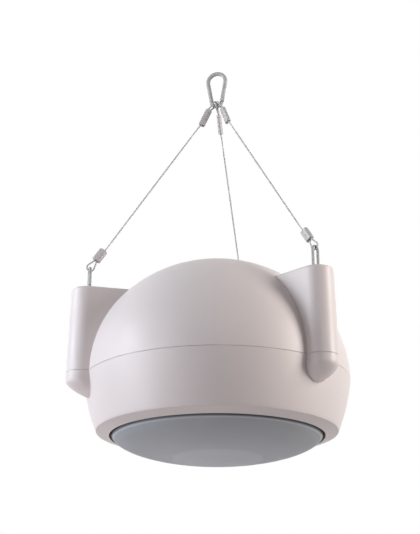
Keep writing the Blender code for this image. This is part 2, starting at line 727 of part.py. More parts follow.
# Woofer

FLANGE_BACK = BAFFLE_FRONT - 2 * TOUCH_GAP - GASKET_THICKNESS
FLANGE_FRONT = FLANGE_BACK - FRAME_SHEET
REAR_PLATE = FLANGE_BACK + CAGE_DEPTH
PLATE_START = REAR_PLATE + TOUCH_GAP
MAGNET_START = PLATE_START + TOP_PLATE_THICKNESS + TOUCH_GAP
BACK_START = MAGNET_START + MAGNET_THICKNESS + TOUCH_GAP
BACK_END = BACK_START + BACK_PLATE_THICKNESS
COIL_OUTER = COIL_INNER + COIL_WALL
WINDING_OUTER = COIL_OUTER + WINDING
POLE_RADIUS = COIL_INNER - MAGNET_GAP
CONE_FRONT = FLANGE_FRONT
NECK_RADIUS = COIL_OUTER + TOUCH_GAP


def build_frame_gasket():
    """The foam ring between the woofer's frame and the baffle."""
    low = BAFFLE_FRONT - TOUCH_GAP - GASKET_THICKNESS
    high = BAFFLE_FRONT - TOUCH_GAP
    inner = WOOFER_CUTOUT
    profile = [(inner, high), (FRAME_RADIUS, high), (FRAME_RADIUS, low), (inner, low)]
    node = add_node("frame_gasket", turned("frame_gasket", profile, 28), "rubber")
    hole = cylinder(M4_RADIUS + TOUCH_GAP, low - TRIM, high + TRIM, (FRAME_BOLT_CIRCLE, 0.0), 12)
    cut(node, around(hole, WOOFER_SCREWS, math.pi / WOOFER_SCREWS), "holes")


def build_basket():
    """The pressed-steel frame of the woofer, with windows in its cage."""
    sheet = FRAME_SHEET
    knee = FLANGE_BACK + 0.22 * CAGE_DEPTH
    hip = REAR_PLATE - 0.14 * CAGE_DEPTH
    profile = [(REAR_BORE, REAR_PLATE), (CAGE_REAR, REAR_PLATE), (CAGE_REAR + 0.001, hip)]
    profile += [(CAGE_MOUTH - 0.004, knee), (CAGE_MOUTH, FLANGE_BACK)]
    profile += [(FRAME_RADIUS, FLANGE_BACK), (FRAME_RADIUS, FLANGE_FRONT)]
    profile += [(CAGE_MOUTH - 2 * sheet, FLANGE_FRONT), (CAGE_MOUTH - 0.004 - sheet, knee)]
    profile += [(CAGE_REAR - sheet, hip), (CAGE_REAR - sheet, REAR_PLATE - sheet)]
    profile += [(REAR_BORE, REAR_PLATE - sheet)]
    node = add_node("woofer_basket", turned("basket", profile, 32), "black_steel")
    height = hip - knee - 0.004
    window = box((WINDOW_REACH, WINDOW_WIDTH, height), (CAGE_MOUTH, 0.0, (hip + knee) / 2))
    cut(node, around(window, CAGE_WINDOWS), "windows")
    hole = cylinder(M4_RADIUS + TOUCH_GAP, FLANGE_FRONT - TRIM, FLANGE_BACK + TRIM,
                    (FRAME_BOLT_CIRCLE, 0.0), 12)
    cut(node, around(hole, WOOFER_SCREWS, math.pi / WOOFER_SCREWS), "holes")


def build_woofer_screws():
    """Four screws that hold the woofer on the baffle."""
    length = FRAME_SHEET + GASKET_THICKNESS + 3 * TOUCH_GAP + WOOFER_SCREW_GRIP
    for i in range(WOOFER_SCREWS):
        x, y = polar(FRAME_BOLT_CIRCLE, 180 / WOOFER_SCREWS + i * 360 / WOOFER_SCREWS)
        place = (x, y, FLANGE_FRONT - TOUCH_GAP)
        add_node(f"woofer_screw_{i + 1}", screw_mesh(length), "black_steel", place)


def build_motor():
    """The top plate, the ring magnet and the back plate with its pole."""
    low, high = PLATE_START, PLATE_START + TOP_PLATE_THICKNESS
    bore = WINDING_OUTER + MAGNET_GAP
    ring = [(bore, high), (TOP_PLATE_RADIUS, high), (TOP_PLATE_RADIUS, low), (bore, low)]
    add_node("top_plate", turned("top_plate", ring, 28), "zinc")
    low, high = MAGNET_START, MAGNET_START + MAGNET_THICKNESS
    ring = [(MAGNET_BORE, high), (MAGNET_RADIUS, high), (MAGNET_RADIUS, low), (MAGNET_BORE, low)]
    add_node("ring_magnet", turned("ring_magnet", ring, 28), "ferrite")
    bore = POST_RADIUS + TOUCH_GAP
    profile = [(bore, BACK_END), (BACK_PLATE_RADIUS, BACK_END), (BACK_PLATE_RADIUS, BACK_START)]
    profile += [(POLE_RADIUS, BACK_START), (POLE_RADIUS, PLATE_START), (bore, PLATE_START)]
    add_node("back_plate", turned("back_plate", profile, 28), "zinc")


def build_cone():
    """The paper cone, the voice coil, the surround and the spider."""
    rim_back = CONE_FRONT + CONE_SHEET
    neck = CONE_FRONT + CONE_NECK_DEPTH
    flat = CONE_RIM - 0.004
    profile = [(NECK_RADIUS, neck + 0.005), (NECK_RADIUS + CONE_SHEET, neck + 0.005)]
    profile += [(NECK_RADIUS + CONE_SHEET, neck), (flat, rim_back), (CONE_RIM, rim_back)]
    profile += [(CONE_RIM, CONE_FRONT), (flat - CONE_SHEET, CONE_FRONT)]
    profile += [(NECK_RADIUS, neck - 1.2 * CONE_SHEET)]
    add_node("woofer_cone", turned("woofer_cone", profile, 32), "paper")
    end = PLATE_START + (TOP_PLATE_THICKNESS + WINDING_LENGTH) / 2
    start = end - COIL_LENGTH
    profile = [(COIL_INNER, end), (WINDING_OUTER, end), (WINDING_OUTER, end - WINDING_LENGTH)]
    profile += [(COIL_OUTER, end - WINDING_LENGTH), (COIL_OUTER, start), (COIL_INNER, start)]
    add_node("voice_coil", turned("voice_coil", profile, 24), "copper")
    build_surround()
    build_spider(neck + 0.005 + TOUCH_GAP)


def build_surround():
    """The half-roll rubber surround between the cone's rim and the frame."""
    sheet = 0.0008
    back = CONE_FRONT - TOUCH_GAP
    middle = CONE_RIM + ROLL_RADIUS
    edge = FRAME_BOLT_CIRCLE - M4_HEAD_RADIUS - 0.001
    outer = [(edge, back), (edge, back - sheet)]
    outer += arc((middle, back - sheet), ROLL_RADIUS, 0.0, -180.0, 5)
    outer += [(CONE_RIM - 0.003, back - sheet), (CONE_RIM - 0.003, back)]
    inner = arc((middle, back), ROLL_RADIUS - sheet, -180.0, 0.0, 5)
    add_node("surround", turned("surround", outer + inner, 28), "rubber")


def build_spider(level):
    """The corrugated cloth ring that centres the voice coil."""
    inner = NECK_RADIUS
    outer = CAGE_REAR - FRAME_SHEET - SLIP_GAP
    count = 7
    wave = []
    for i, radius in enumerate(np.linspace(inner + 0.002, outer - 0.004, count)):
        wave.append((radius, level + SPIDER_WAVE * math.cos(i * math.pi)))
    seat = REAR_PLATE - FRAME_SHEET - TOUCH_GAP
    top = [(inner, level + 0.003), (inner + 0.001, level + 0.003)]
    top += [(r, z + SPIDER_SHEET) for r, z in wave] + [(outer - 0.0035, seat), (outer, seat)]
    low = [(outer, seat - SPIDER_SHEET), (outer - 0.0028, seat - SPIDER_SHEET)]
    low += [(r, z) for r, z in reversed(wave)] + [(inner, level)]
    add_node("spider", turned("spider", top + low, 20), "cloth")


# Tweeter

TWEETER_BACK = CONE_FRONT + TWEETER_STANDOFF


def build_tweeter():
    """The coaxial tweeter on a post that passes through the woofer's pole."""
    head = BACK_END + TOUCH_GAP
    profile = [(0.0, head + POST_HEAD), (POST_HEAD_RADIUS, head + POST_HEAD)]
    profile += [(POST_HEAD_RADIUS, head), (POST_RADIUS, head)]
    profile += [(POST_RADIUS, TWEETER_BACK + TOUCH_GAP), (0.0, TWEETER_BACK + TOUCH_GAP)]
    add_node("tweeter_post", turned("tweeter_post", profile, SMALL_STEPS, False), "zinc")
    front = TWEETER_BACK - TWEETER_DEPTH
    floor = front + 0.006
    profile = [(0.0, TWEETER_BACK), (0.7 * TWEETER_RADIUS, TWEETER_BACK)]
    profile += [(TWEETER_RADIUS, TWEETER_BACK - 0.005), (TWEETER_RADIUS, front)]
    profile += [(TWEETER_RADIUS - 0.002, front), (DOME_RADIUS + 0.002, floor), (0.0, floor)]
    add_node("tweeter_body", turned("tweeter_body", profile, 28, False), "black_plastic")
    flat = floor - TOUCH_GAP
    rise = 0.0035
    dome = [(DOME_RADIUS * math.cos(a), flat - 0.0008 - rise * math.sin(a))
            for a in np.linspace(0.0, math.pi / 2, 5)[:-1]]
    profile = [(0.0, flat), (DOME_RADIUS, flat)] + dome + [(0.0, flat - 0.0008 - rise)]
    add_node("tweeter_dome", turned("tweeter_dome", profile, 20, False), "titanium")


# Terminals, transformer and crossover

CUP_TOP = SEAT_LEVEL + TOUCH_GAP
CUP_FLOOR = CUP_TOP + CUP_SHEET - CUP_DEPTH
CUP_UNDER = CUP_FLOOR - CUP_SHEET


def build_terminal_cup():
    """The recessed cup for the terminals in the top of the dome."""
    outer = CUP_BORE - SLIP_GAP
    inner = outer - CUP_SHEET
    profile = [(0.0, CUP_FLOOR), (inner, CUP_FLOOR), (inner, CUP_TOP + CUP_SHEET)]
    profile += [(CUP_FLANGE, CUP_TOP + CUP_SHEET), (CUP_FLANGE, CUP_TOP), (outer, CUP_TOP)]
    profile += [(outer, CUP_UNDER), (0.0, CUP_UNDER)]
    node = add_node("terminal_cup", turned("terminal_cup", profile, 32, False), "black_plastic")
    hole = cylinder(KNOB_SHAFT + SLIP_GAP, CUP_UNDER - TRIM, CUP_FLOOR + TRIM,
                    (0.0, KNOB_OFFSET), 16)
    cut(node, hole, "shaft_hole")
    length, depth, height = BLOCK_SIZE
    centre = (0.0, BLOCK_OFFSET, CUP_FLOOR + TOUCH_GAP + height / 2)
    block = add_node("terminal_block", box(BLOCK_SIZE, centre), "laminate")
    pitch = length / 4
    entries = []
    for i in range(4):
        x = (i - 1.5) * pitch
        entries.append(box((0.5 * pitch, 0.4 * depth, 0.4 * height),
                           (x, BLOCK_OFFSET + 0.45 * depth, centre[2] - 0.15 * height)))
        entries.append(cylinder(0.3 * pitch, centre[2] + 0.3 * height, centre[2] + height,
                                (x, BLOCK_OFFSET - 0.1 * depth), 12))
    cut(block, gather(entries), "entries")


def build_selector():
    """The power-tap selector: a knob on a shaft through the cup's floor."""
    axis = bpy.data.objects.new("selector_axis", None)
    axis.parent = FRAME
    axis.location = (0.0, KNOB_OFFSET, CUP_FLOOR)
    PARTS.objects.link(axis)
    low = TOUCH_GAP
    profile = [(0.0, low + KNOB_HEIGHT), (0.88 * KNOB_RADIUS, low + KNOB_HEIGHT)]
    profile += [(KNOB_RADIUS, low + 0.8 * KNOB_HEIGHT), (KNOB_RADIUS, low), (KNOB_SHAFT, low)]
    profile += [(KNOB_SHAFT, -CUP_SHEET - 0.006), (0.0, -CUP_SHEET - 0.006)]
    mesh = turned("selector_knob", profile, 24, False)
    node = add_node("selector_knob", mesh, "black_plastic", parent=axis)
    pointer = box((0.0014, 0.9 * KNOB_RADIUS, 0.0014),
                  (0.0, 0.55 * KNOB_RADIUS, low + KNOB_HEIGHT))
    cutter = add_cutter("selector_pointer", pointer)
    cutter.parent = axis
    modifier = node.modifiers.new("pointer", "BOOLEAN")
    modifier.operation = "DIFFERENCE"
    modifier.object = cutter


def build_transformer():
    """The line transformer under the terminal cup: laminated core and winding."""
    length, thick, height = CORE_SIZE
    window_wide, window_high = CORE_WINDOW
    middle = CUP_UNDER - TOUCH_GAP - height / 2
    core = add_node("transformer_core", box(CORE_SIZE, (0.0, 0.0, middle)), "ferrite")
    side = CORE_LIMB / 2 + window_wide / 2
    windows = [box((window_wide, thick + TRIM, window_high), (s * side, 0.0, middle))
               for s in (-1, 1)]
    cut(core, gather(windows), "windows")
    reach = CORE_LIMB / 2 + window_wide - TOUCH_GAP
    outer = (2 * reach, thick + 2 * COIL_BUILD, window_high - 2 * TOUCH_GAP)
    coil = add_node("transformer_coil", box(outer, (0.0, 0.0, middle)), "copper")
    bore = (CORE_LIMB + 2 * TOUCH_GAP, thick + 2 * TOUCH_GAP, height)
    cut(coil, box(bore, (0.0, 0.0, middle)), "bore")


BOARD_BOTTOM = BAFFLE_FRONT + BAFFLE_THICKNESS + BOARD_STANDOFF + TOUCH_GAP
BOARD_TOP = BOARD_BOTTOM + BOARD_SIZE[2]


def build_crossover():
    """The crossover board on the back of the baffle, with its coil and capacitor."""
    centre = (BOARD_RADIUS, 0.0, (BOARD_BOTTOM + BOARD_TOP) / 2)
    add_node("crossover_board", box(BOARD_SIZE, centre), "laminate")
    low = BOARD_TOP + TOUCH_GAP
    high = low + INDUCTOR_HEIGHT
    ring = [(INDUCTOR_BORE, high), (INDUCTOR_RADIUS, high), (INDUCTOR_RADIUS, low),
            (INDUCTOR_BORE, low)]
    place = (BOARD_RADIUS, 0.25 * BOARD_SIZE[1], 0.0)
    add_node("crossover_inductor", turned("inductor", ring, SMALL_STEPS), "copper", place)
    half = CAPACITOR_LENGTH / 2
    profile = [(0.0, half), (0.9 * CAPACITOR_RADIUS, half), (CAPACITOR_RADIUS, half - 0.001)]
    profile += [(CAPACITOR_RADIUS, -half + 0.001), (0.9 * CAPACITOR_RADIUS, -half), (0.0, -half)]
    place = (BOARD_RADIUS, -0.28 * BOARD_SIZE[1], low + CAPACITOR_RADIUS)
    node = add_node("crossover_capacitor", turned("capacitor", profile, SMALL_STEPS, False),
                    "black_plastic", place)
    node.rotation_euler = (0.0, math.pi / 2, 0.0)


LEAD_RADIUS = 0.0015
LEAD_ROUTE = (
    (0.0000, -0.016, 0.108), (0.0000, -0.026, 0.105), (0.0180, -0.040, 0.092),
    (0.0500, -0.048, 0.062), (0.0800, -0.042, 0.022), (0.0980, -0.028, -0.018),
    (0.1100, -0.012, -0.038), (0.1180, -0.003, -0.044), (0.1180, 0.000, -0.050),
)


def build_lead():
    """The lead from the transformer down to the crossover board."""
    route = [Vector(point) for point in LEAD_ROUTE]
    middle = CUP_UNDER - TOUCH_GAP - CORE_SIZE[2] / 2
    face = -(CORE_SIZE[1] / 2 + COIL_BUILD + TOUCH_GAP)
    route[0] = Vector((0.0, face, middle - 0.012))
    route[1] = Vector((0.0, face - 0.008, middle - 0.013))
    route[-1] = Vector((BOARD_RADIUS, 0.0, BOARD_TOP + TOUCH_GAP))
    route[-2] = Vector((BOARD_RADIUS, -0.001, BOARD_TOP + 0.007))
    path = smooth_path(route, 0.009)
    add_node("internal_lead", rod("internal_lead", path, LEAD_RADIUS), "rubber")


def build_felt():
    """The felt lining against the inside of the dome."""
    def side(inset, count):
        """The lining's side at an inset from the shell, from top to bottom."""
        radius = INNER_RADIUS - inset
        height = INNER_HEIGHT - inset
        return [(radius * math.sqrt(1 - (z / height) ** 2), z)
                for z in np.linspace(FELT_TOP, FELT_BOTTOM, count)]
    outer = side(FELT_GAP, 5)
    inner = side(FELT_GAP + FELT_THICKNESS, 5)
    profile = outer + list(reversed(inner))
    add_node("felt_lining", turned("felt_lining", profile, ROUND_STEPS // 2), "felt")


# Eyebolts

def eyebolt_mesh():
    """An eyebolt on the Z axis with its seat at z = 0 and its eye in the XZ plane."""
    half = EYE_SPAN / 2
    top = EYE_TOP - EYE_WIRE - half
    bottom = COLLAR_HEIGHT + EYE_WIRE + half * 0.8
    points = [(half * math.cos(a), 0.0, top + half * math.sin(a))
              for a in np.linspace(0.0, math.pi, 8)]
    points += [(half * math.cos(a), 0.0, bottom + 0.8 * half * math.sin(a))
               for a in np.linspace(math.pi, 2 * math.pi, 8)[1:-1]]
    return rod("eye", points, EYE_WIRE, 2, cyclic=True)


def build_eyebolts():
    """Three eyebolts with a washer and a nut each inside the lobe."""
    for i in range(LOBE_COUNT):
        turn = i * LOBE_STEP
        x, y = polar(EYE_RADIUS, 90 + math.degrees(turn))
        place = (x, y, LOBE_TOP)
        node = add_node(f"eyebolt_{i + 1}", eyebolt_mesh(), "zinc", place, turn)
        shank = [(0.0, COLLAR_HEIGHT + 1.2 * EYE_WIRE), (0.8 * M6_RADIUS, COLLAR_HEIGHT + 1.2 * EYE_WIRE)]
        shank += [(COLLAR_RADIUS - 0.001, COLLAR_HEIGHT), (COLLAR_RADIUS, COLLAR_HEIGHT - 0.0008)]
        shank += [(COLLAR_RADIUS, TOUCH_GAP), (M6_RADIUS, TOUCH_GAP)]
        shank += [(M6_RADIUS, -SHANK_LENGTH), (0.0, -SHANK_LENGTH)]
        cutter = add_cutter(f"shank_{i + 1}", turned("shank", shank, 12, False))
        cutter.location = place
        cutter.rotation_euler = (0.0, 0.0, turn)
        modifier = node.modifiers.new("shank", "BOOLEAN")
        modifier.operation = "UNION"
        modifier.object = cutter
        roof = LOBE_TOP - LOBE_ROOF
        high = roof - TOUCH_GAP
        low = high - WASHER_THICKNESS
        bore = M6_RADIUS + TOUCH_GAP
        ring = [(bore, high), (WASHER_RADIUS, high), (WASHER_RADIUS, low), (bore, low)]
        add_node(f"washer_{i + 1}", turned("washer", ring, SMALL_STEPS), "zinc", (x, y, 0.0))
        corner = NUT_ACROSS_FLATS / math.sqrt(3)
        nut_top = low - TOUCH_GAP
        mesh = cylinder(corner, nut_top - NUT_HEIGHT, nut_top, steps=6)
        nut = add_node(f"nut_{i + 1}", mesh, "zinc", (x, y, 0.0), turn)
        bore_cutter = add_cutter(f"nut_bore_{i + 1}", cylinder(
            bore, nut_top - NUT_HEIGHT - TRIM, nut_top + TRIM, steps=SMALL_STEPS))
        bore_cutter.location = (x, y, 0.0)
        modifier = nut.modifiers.new("bore", "BOOLEAN")
        modifier.operation = "DIFFERENCE"
        modifier.object = bore_cutter


# Wire-rope legs. Worked out on +Y, in (y, z), and turned to each lobe.

def plane_vector(y, z):
    """A vector in the plane of the leg on +Y."""
    return Vector((0.0, y, z))


UPPER_AXIS = plane_vector(-math.sin(math.radians(UPPER_LEAN)), math.cos(math.radians(UPPER_LEAN)))
UPPER_SIDE = plane_vector(UPPER_AXIS.z, -UPPER_AXIS.y)
UPPER_NECK = plane_vector(UPPER_NECK_RADIUS, HOOK_SEAT - UPPER_NECK_DROP)
UPPER_FOOT = UPPER_NECK - UPPER_AXIS * UPPER_SLEEVE[0]
EYE_CENTRE = plane_vector(EYE_RADIUS, EYE_SEAT + EYE_WIRE)
LOWER_AXIS = (UPPER_FOOT - EYE_CENTRE).normalized()
LOWER_SIDE = plane_vector(LOWER_AXIS.z, -LOWER_AXIS.y)
LOWER_FOOT = EYE_CENTRE + LOWER_AXIS * LOWER_NECK
LOWER_HEAD = LOWER_FOOT + LOWER_AXIS * LOWER_SLEEVE[0]


def lower_loop():
    """The rope from its lower end, through the eye and back through the sleeve."""
    play = LOWER_LOOP - ROPE_RADIUS - EYE_WIRE - TOUCH_GAP
    centre = EYE_CENTRE + LOWER_AXIS * play
    points = [LOWER_HEAD + LOWER_AXIS * TAIL + LOWER_SIDE * STRAND_OFFSET]
    points += [LOWER_FOOT + LOWER_AXIS * STRAIGHT + LOWER_SIDE * STRAND_OFFSET]
    points += [LOWER_FOOT + LOWER_SIDE * STRAND_OFFSET]
    for angle in np.radians(np.linspace(-25.0, 205.0, 10)):
        out = LOWER_SIDE * math.cos(angle) - LOWER_AXIS * math.sin(angle)
        points.append(centre + out * LOWER_LOOP)
    points += [LOWER_FOOT - LOWER_SIDE * STRAND_OFFSET]
    points += [LOWER_FOOT + LOWER_AXIS * STRAIGHT - LOWER_SIDE * STRAND_OFFSET]
    points += [LOWER_HEAD - LOWER_SIDE * STRAND_OFFSET]
    return points


def hook_crossing(azimuth):
    """Where the rope of a leg crosses the hook's plane, over the hook's seat."""
    low = HOOK_SEAT + TOUCH_GAP + ROPE_RADIUS
    if abs(math.sin(azimuth)) < 0.1:
        return Vector((0.0, 0.0, low))
    pitch = 2 * ROPE_RADIUS + TOUCH_GAP
    aside = pitch / 2 + 0.00005
    up = math.sqrt(pitch ** 2 - aside ** 2)
    return Vector((-math.copysign(aside, math.sin(azimuth)), 0.0, low + up))


def upper_loop(azimuth):
    """The rope from the upper sleeve, over the hook's narrow end and back, for one leg."""
    turn = Matrix.Rotation(azimuth, 3, "Z")
    neck = turn @ UPPER_NECK
    side = turn @ UPPER_SIDE
    top = hook_crossing(azimuth)
    radius = HOOK_WIRE + ROPE_RADIUS + TOUCH_GAP
    down = Vector((neck.x - top.x, 0.0, neck.z - top.z)).normalized()
    across = Vector((0.0, 1.0, 0.0))
    if abs(math.sin(azimuth)) > 0.1:
        radius += 0.0005
    centre = top + down * radius
    towards = neck - centre
    lean = math.atan2(towards.dot(across), towards.dot(down))
    outer = neck + side * STRAND_OFFSET
    inner = neck - side * STRAND_OFFSET
    sign = 1.0 if outer.dot(across) > inner.dot(across) else -1.0
    points = []
    for angle in np.radians(np.linspace(-100.0, 100.0, 9)):
        a = math.pi - angle * sign + lean
        points.append(centre + (down * math.cos(a) + across * math.sin(a)) * radius)
    if (points[0] - outer).length > (points[-1] - outer).length:
        points.reverse()
    down = turn @ UPPER_AXIS * -STRAIGHT
    return [outer + down, outer] + points + [inner, inner + down]


def leg_points(azimuth):
    """All route points of one leg, from its lower end to its upper end."""
    turn = Matrix.Rotation(azimuth, 3, "Z")
    points = [turn @ point for point in lower_loop()]
    points.append(turn @ (UPPER_FOOT + UPPER_SIDE * STRAND_OFFSET))
    points += upper_loop(azimuth)
    points.append(turn @ (UPPER_FOOT - UPPER_SIDE * STRAND_OFFSET - UPPER_AXIS * TAIL))
    return points


def leg_path(azimuth):
    """A smooth route of one leg, with its straight stretches kept straight."""
    points = leg_points(azimuth)
    eased = []
    for i, point in enumerate(points):
        if 0 < i < len(points) - 1:
            before = (point - points[i - 1]).length
            after = (points[i + 1] - point).length
            if before > 4 * after:
                eased.append(point + (points[i - 1] - point).normalized() * after)
            eased.append(point)
            if after > 4 * before:
                eased.append(point + (points[i + 1] - point).normalized() * before)
        else:
            eased.append(point)
    path = [eased[0]]
    fine = smooth_path(eased, 0.0030)
    for point in fine[1:-1]:
        ahead = Vector(point)
        if (ahead - Vector(path[-1])).length >= 0.0015:
            path.append(point)
    path.append(fine[-1])
    return thin_straights([Vector(point) for point in path])


def thin_straights(path):
    """Drop the points of a path that lie on a straight line between their neighbours."""
    kept = [path[0]]
    for point, after in zip(path[1:], path[2:]):
        before = kept[-1]
        bend = (point - before).angle(after - point)
        if bend > math.radians(1.0):
            kept.append(point)
    kept.append(path[-1])
    return [tuple(point) for point in kept]


def stadium(half_width, half_thickness, count=5):
    """A flat oval outline, its long side along X."""
    flat = half_width - half_thickness
    points = []
    for angle in np.linspace(-math.pi / 2, math.pi / 2, count):
        points.append((flat + half_thickness * math.cos(angle), half_thickness * math.sin(angle)))
    for angle in np.linspace(math.pi / 2, 3 * math.pi / 2, count):
        points.append((-flat + half_thickness * math.cos(angle), half_thickness * math.sin(angle)))
    return points


def sleeve_mesh(size):
    """A crimped oval sleeve along Z from z = 0, its wide side along X."""
    length, wide, thick = size
    bore_thick = ROPE_RADIUS + TOUCH_GAP
    bore_wide = STRAND_OFFSET + bore_thick

    def ring(height, grow):
        """The outer outline at a height, grown by an amount."""
        return [(x, y, height) for x, y in stadium(wide + grow, thick + grow)]
    rings = [ring(0.0, -SLEEVE_CHAMFER), ring(SLEEVE_CHAMFER, 0.0), ring(length / 2, -0.0003),
             ring(length - SLEEVE_CHAMFER, 0.0), ring(length, -SLEEVE_CHAMFER)]
    for height in (length, 0.0):
        rings.append([(x, y, height) for x, y in stadium(bore_wide, bore_thick)])
    return loft(rings, wrap=True)


def place_sleeve(name, size, foot, axis, side, azimuth):
    """Place a sleeve on a leg, given the sleeve's foot and directions on the +Y leg."""
    turn = Matrix.Rotation(azimuth, 3, "Z")
    basis = Matrix((turn @ side, (turn @ axis).cross(turn @ side), turn @ axis)).transposed()
    mesh = sleeve_mesh(size)
    node = add_node(name, mesh, "sleeve", turn @ foot)
    node.rotation_euler = basis.to_euler()


def build_legs():
    """Three legs, each a rope with a lower and an upper sleeve."""
    for i in range(LOBE_COUNT):
        azimuth = i * LOBE_STEP
        mesh = rod("rope", leg_path(azimuth), ROPE_RADIUS)
        add_node(f"rope_leg_{i + 1}", mesh, "rope")
        place_sleeve(f"lower_sleeve_{i + 1}", LOWER_SLEEVE, LOWER_FOOT, LOWER_AXIS, LOWER_SIDE, azimuth)
        place_sleeve(f"upper_sleeve_{i + 1}", UPPER_SLEEVE, UPPER_FOOT, UPPER_AXIS, UPPER_SIDE, azimuth)


# Snap hook. Its plane is XZ and its gate is on +X.

FLARE = math.asin((HOOK_LARGE_BEND - HOOK_SMALL_BEND) / HOOK_SPACING)
SIDE_ALONG = Vector((math.sin(FLARE), 0.0, math.cos(FLARE)))
SIDE_OUT = Vector((math.cos(FLARE), 0.0, -math.sin(FLARE)))
SIDE_START = Vector((0.0, 0.0, SMALL_CENTRE)) + SIDE_OUT * HOOK_SMALL_BEND
PIVOT = SIDE_START + SIDE_ALONG * PIVOT_UP
GATE_END = PIVOT_UP + GATE_LENGTH


def side_box(low, high, half_in, half_y, out=0.0):
    """A box along the hook's gated side, between two distances up that side."""
    mesh = box((2 * half_in, 2 * half_y, high - low), (0.0, 0.0, 0.0))
    middle = SIDE_START + SIDE_ALONG * (low + high) / 2 + SIDE_OUT * out
    mesh.transform(Matrix.Translation(middle) @ Matrix.Rotation(FLARE, 4, "Y"))
    return mesh


def pivot_pin(radius, half):
    """A pin along Y through the gate's pivot."""
    mesh = cylinder(radius, -half, half, steps=14)
    place = Matrix.Translation(PIVOT) @ Matrix.Rotation(math.pi / 2, 4, "X")
    mesh.transform(place)
    return mesh


def build_hook():
    """The pear-shaped hook body, with flat ends for the gate."""
    lower_end = PIVOT_UP - 0.0046
    upper_end = GATE_END + 2 * TOUCH_GAP
    points = []
    small = Vector((0.0, 0.0, SMALL_CENTRE))
    large = Vector((0.0, 0.0, LARGE_CENTRE))
    start = -FLARE + lower_end / HOOK_SMALL_BEND
    for angle in np.linspace(start, -math.pi + FLARE, 14):
        points.append(small + Vector((math.cos(angle), 0.0, math.sin(angle))) * HOOK_SMALL_BEND)
    for angle in np.linspace(math.pi + FLARE, -FLARE, 16):
        points.append(large + Vector((math.cos(angle), 0.0, math.sin(angle))) * HOOK_LARGE_BEND)
    points.append(SIDE_START + SIDE_ALONG * upper_end)
    node = add_node("snap_hook", rod("snap_hook", points, HOOK_WIRE, 3), "zinc")
    blade_half = 0.0021
    tang = side_box(lower_end - 0.0035, PIVOT_UP + 0.0025, blade_half, BLADE_HALF)
    nib = side_box(GATE_END - 0.0035, upper_end + 0.003, blade_half, BLADE_HALF)
    join(node, gather([tang, nib]), "blades")
    cut(node, pivot_pin(RIVET_RADIUS + TOUCH_GAP, HOOK_WIRE * 2), "rivet_hole")


def build_gate():
    """The sprung gate, slotted at both ends, and the rivet that it turns on."""
    points = [SIDE_START + SIDE_ALONG * (PIVOT_UP - FORK_BELOW), SIDE_START + SIDE_ALONG * GATE_END]
    axis = bpy.data.objects.new("gate_axis", None)
    axis.parent = FRAME
    axis.location = PIVOT
    PARTS.objects.link(axis)
    shift = Matrix.Translation(-PIVOT)
    mesh = rod("gate", points, HOOK_WIRE, 3)
    mesh.transform(shift)
    node = add_node("hook_gate", mesh, "zinc", parent=axis)
    cutters = [side_box(PIVOT_UP - FORK_BELOW - 0.002, PIVOT_UP + 0.0040, 0.006, SLOT_HALF),
               side_box(GATE_END - 0.0042, GATE_END + 0.002, 0.006, SLOT_HALF)]
    slots = add_cutter("gate_slots", gather(cutters))
    hole = add_cutter("gate_hole", pivot_pin(RIVET_RADIUS + TOUCH_GAP, HOOK_WIRE * 2))
    for cutter in (slots, hole):
        modifier = node.modifiers.new(cutter.name, "BOOLEAN")
        modifier.operation = "DIFFERENCE"
        modifier.object = cutter
    head = HOOK_WIRE + TOUCH_GAP
    tip = head + RIVET_HEAD_HEIGHT
    profile = [(0.0, tip), (RIVET_HEAD, tip), (RIVET_HEAD, head), (RIVET_RADIUS, head)]
    profile += [(RIVET_RADIUS, -head), (RIVET_HEAD, -head), (RIVET_HEAD, -tip), (0.0, -tip)]
    rivet = add_node("gate_rivet", turned("gate_rivet", profile, 14, False), "zinc", PIVOT)
    rivet.rotation_euler = (math.pi / 2, 0.0, 0.0)


build_upper_shell()
build_lower_shell()
build_shell_screws()
build_baffle()
build_baffle_screws()
build_ports()
build_grille()
build_frame_gasket()
build_basket()
build_woofer_screws()
build_motor()
build_cone()
build_tweeter()
build_terminal_cup()
build_selector()
build_transformer()
build_crossover()
build_lead()
build_felt()
build_eyebolts()
build_legs()
build_hook()
build_gate()
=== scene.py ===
"""Looks of a pendant loudspeaker hung from a snap hook by three wire-rope legs.

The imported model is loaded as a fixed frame. The shells, the grille, the suspension
and the terminal cup get finer pieces in the same places, the hidden works keep their
solids with better finishes, and a plain studio is put round them.
"""

import logging
import math
from dataclasses import dataclass
from enum import Enum
from typing import Callable, Sequence

import bmesh
import bpy
from mathutils import Matrix, Vector


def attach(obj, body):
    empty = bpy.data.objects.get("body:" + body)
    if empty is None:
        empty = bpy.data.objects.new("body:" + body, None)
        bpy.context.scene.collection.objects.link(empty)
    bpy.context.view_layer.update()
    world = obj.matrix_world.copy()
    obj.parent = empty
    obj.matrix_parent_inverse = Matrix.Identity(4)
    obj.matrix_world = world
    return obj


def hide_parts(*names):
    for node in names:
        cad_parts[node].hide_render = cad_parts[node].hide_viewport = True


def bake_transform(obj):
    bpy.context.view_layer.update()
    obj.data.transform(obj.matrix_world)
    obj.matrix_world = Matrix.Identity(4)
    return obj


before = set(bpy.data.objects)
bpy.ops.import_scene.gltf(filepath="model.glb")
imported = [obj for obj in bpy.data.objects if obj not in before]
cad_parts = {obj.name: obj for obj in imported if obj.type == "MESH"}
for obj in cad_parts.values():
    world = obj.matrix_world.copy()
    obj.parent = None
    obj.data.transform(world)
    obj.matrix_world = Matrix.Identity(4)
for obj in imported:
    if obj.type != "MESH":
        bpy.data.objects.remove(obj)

LOG = logging.getLogger("pendant")
Point = tuple[float, float, float]
Flat = tuple[float, float]
Colour = tuple[float, float, float]

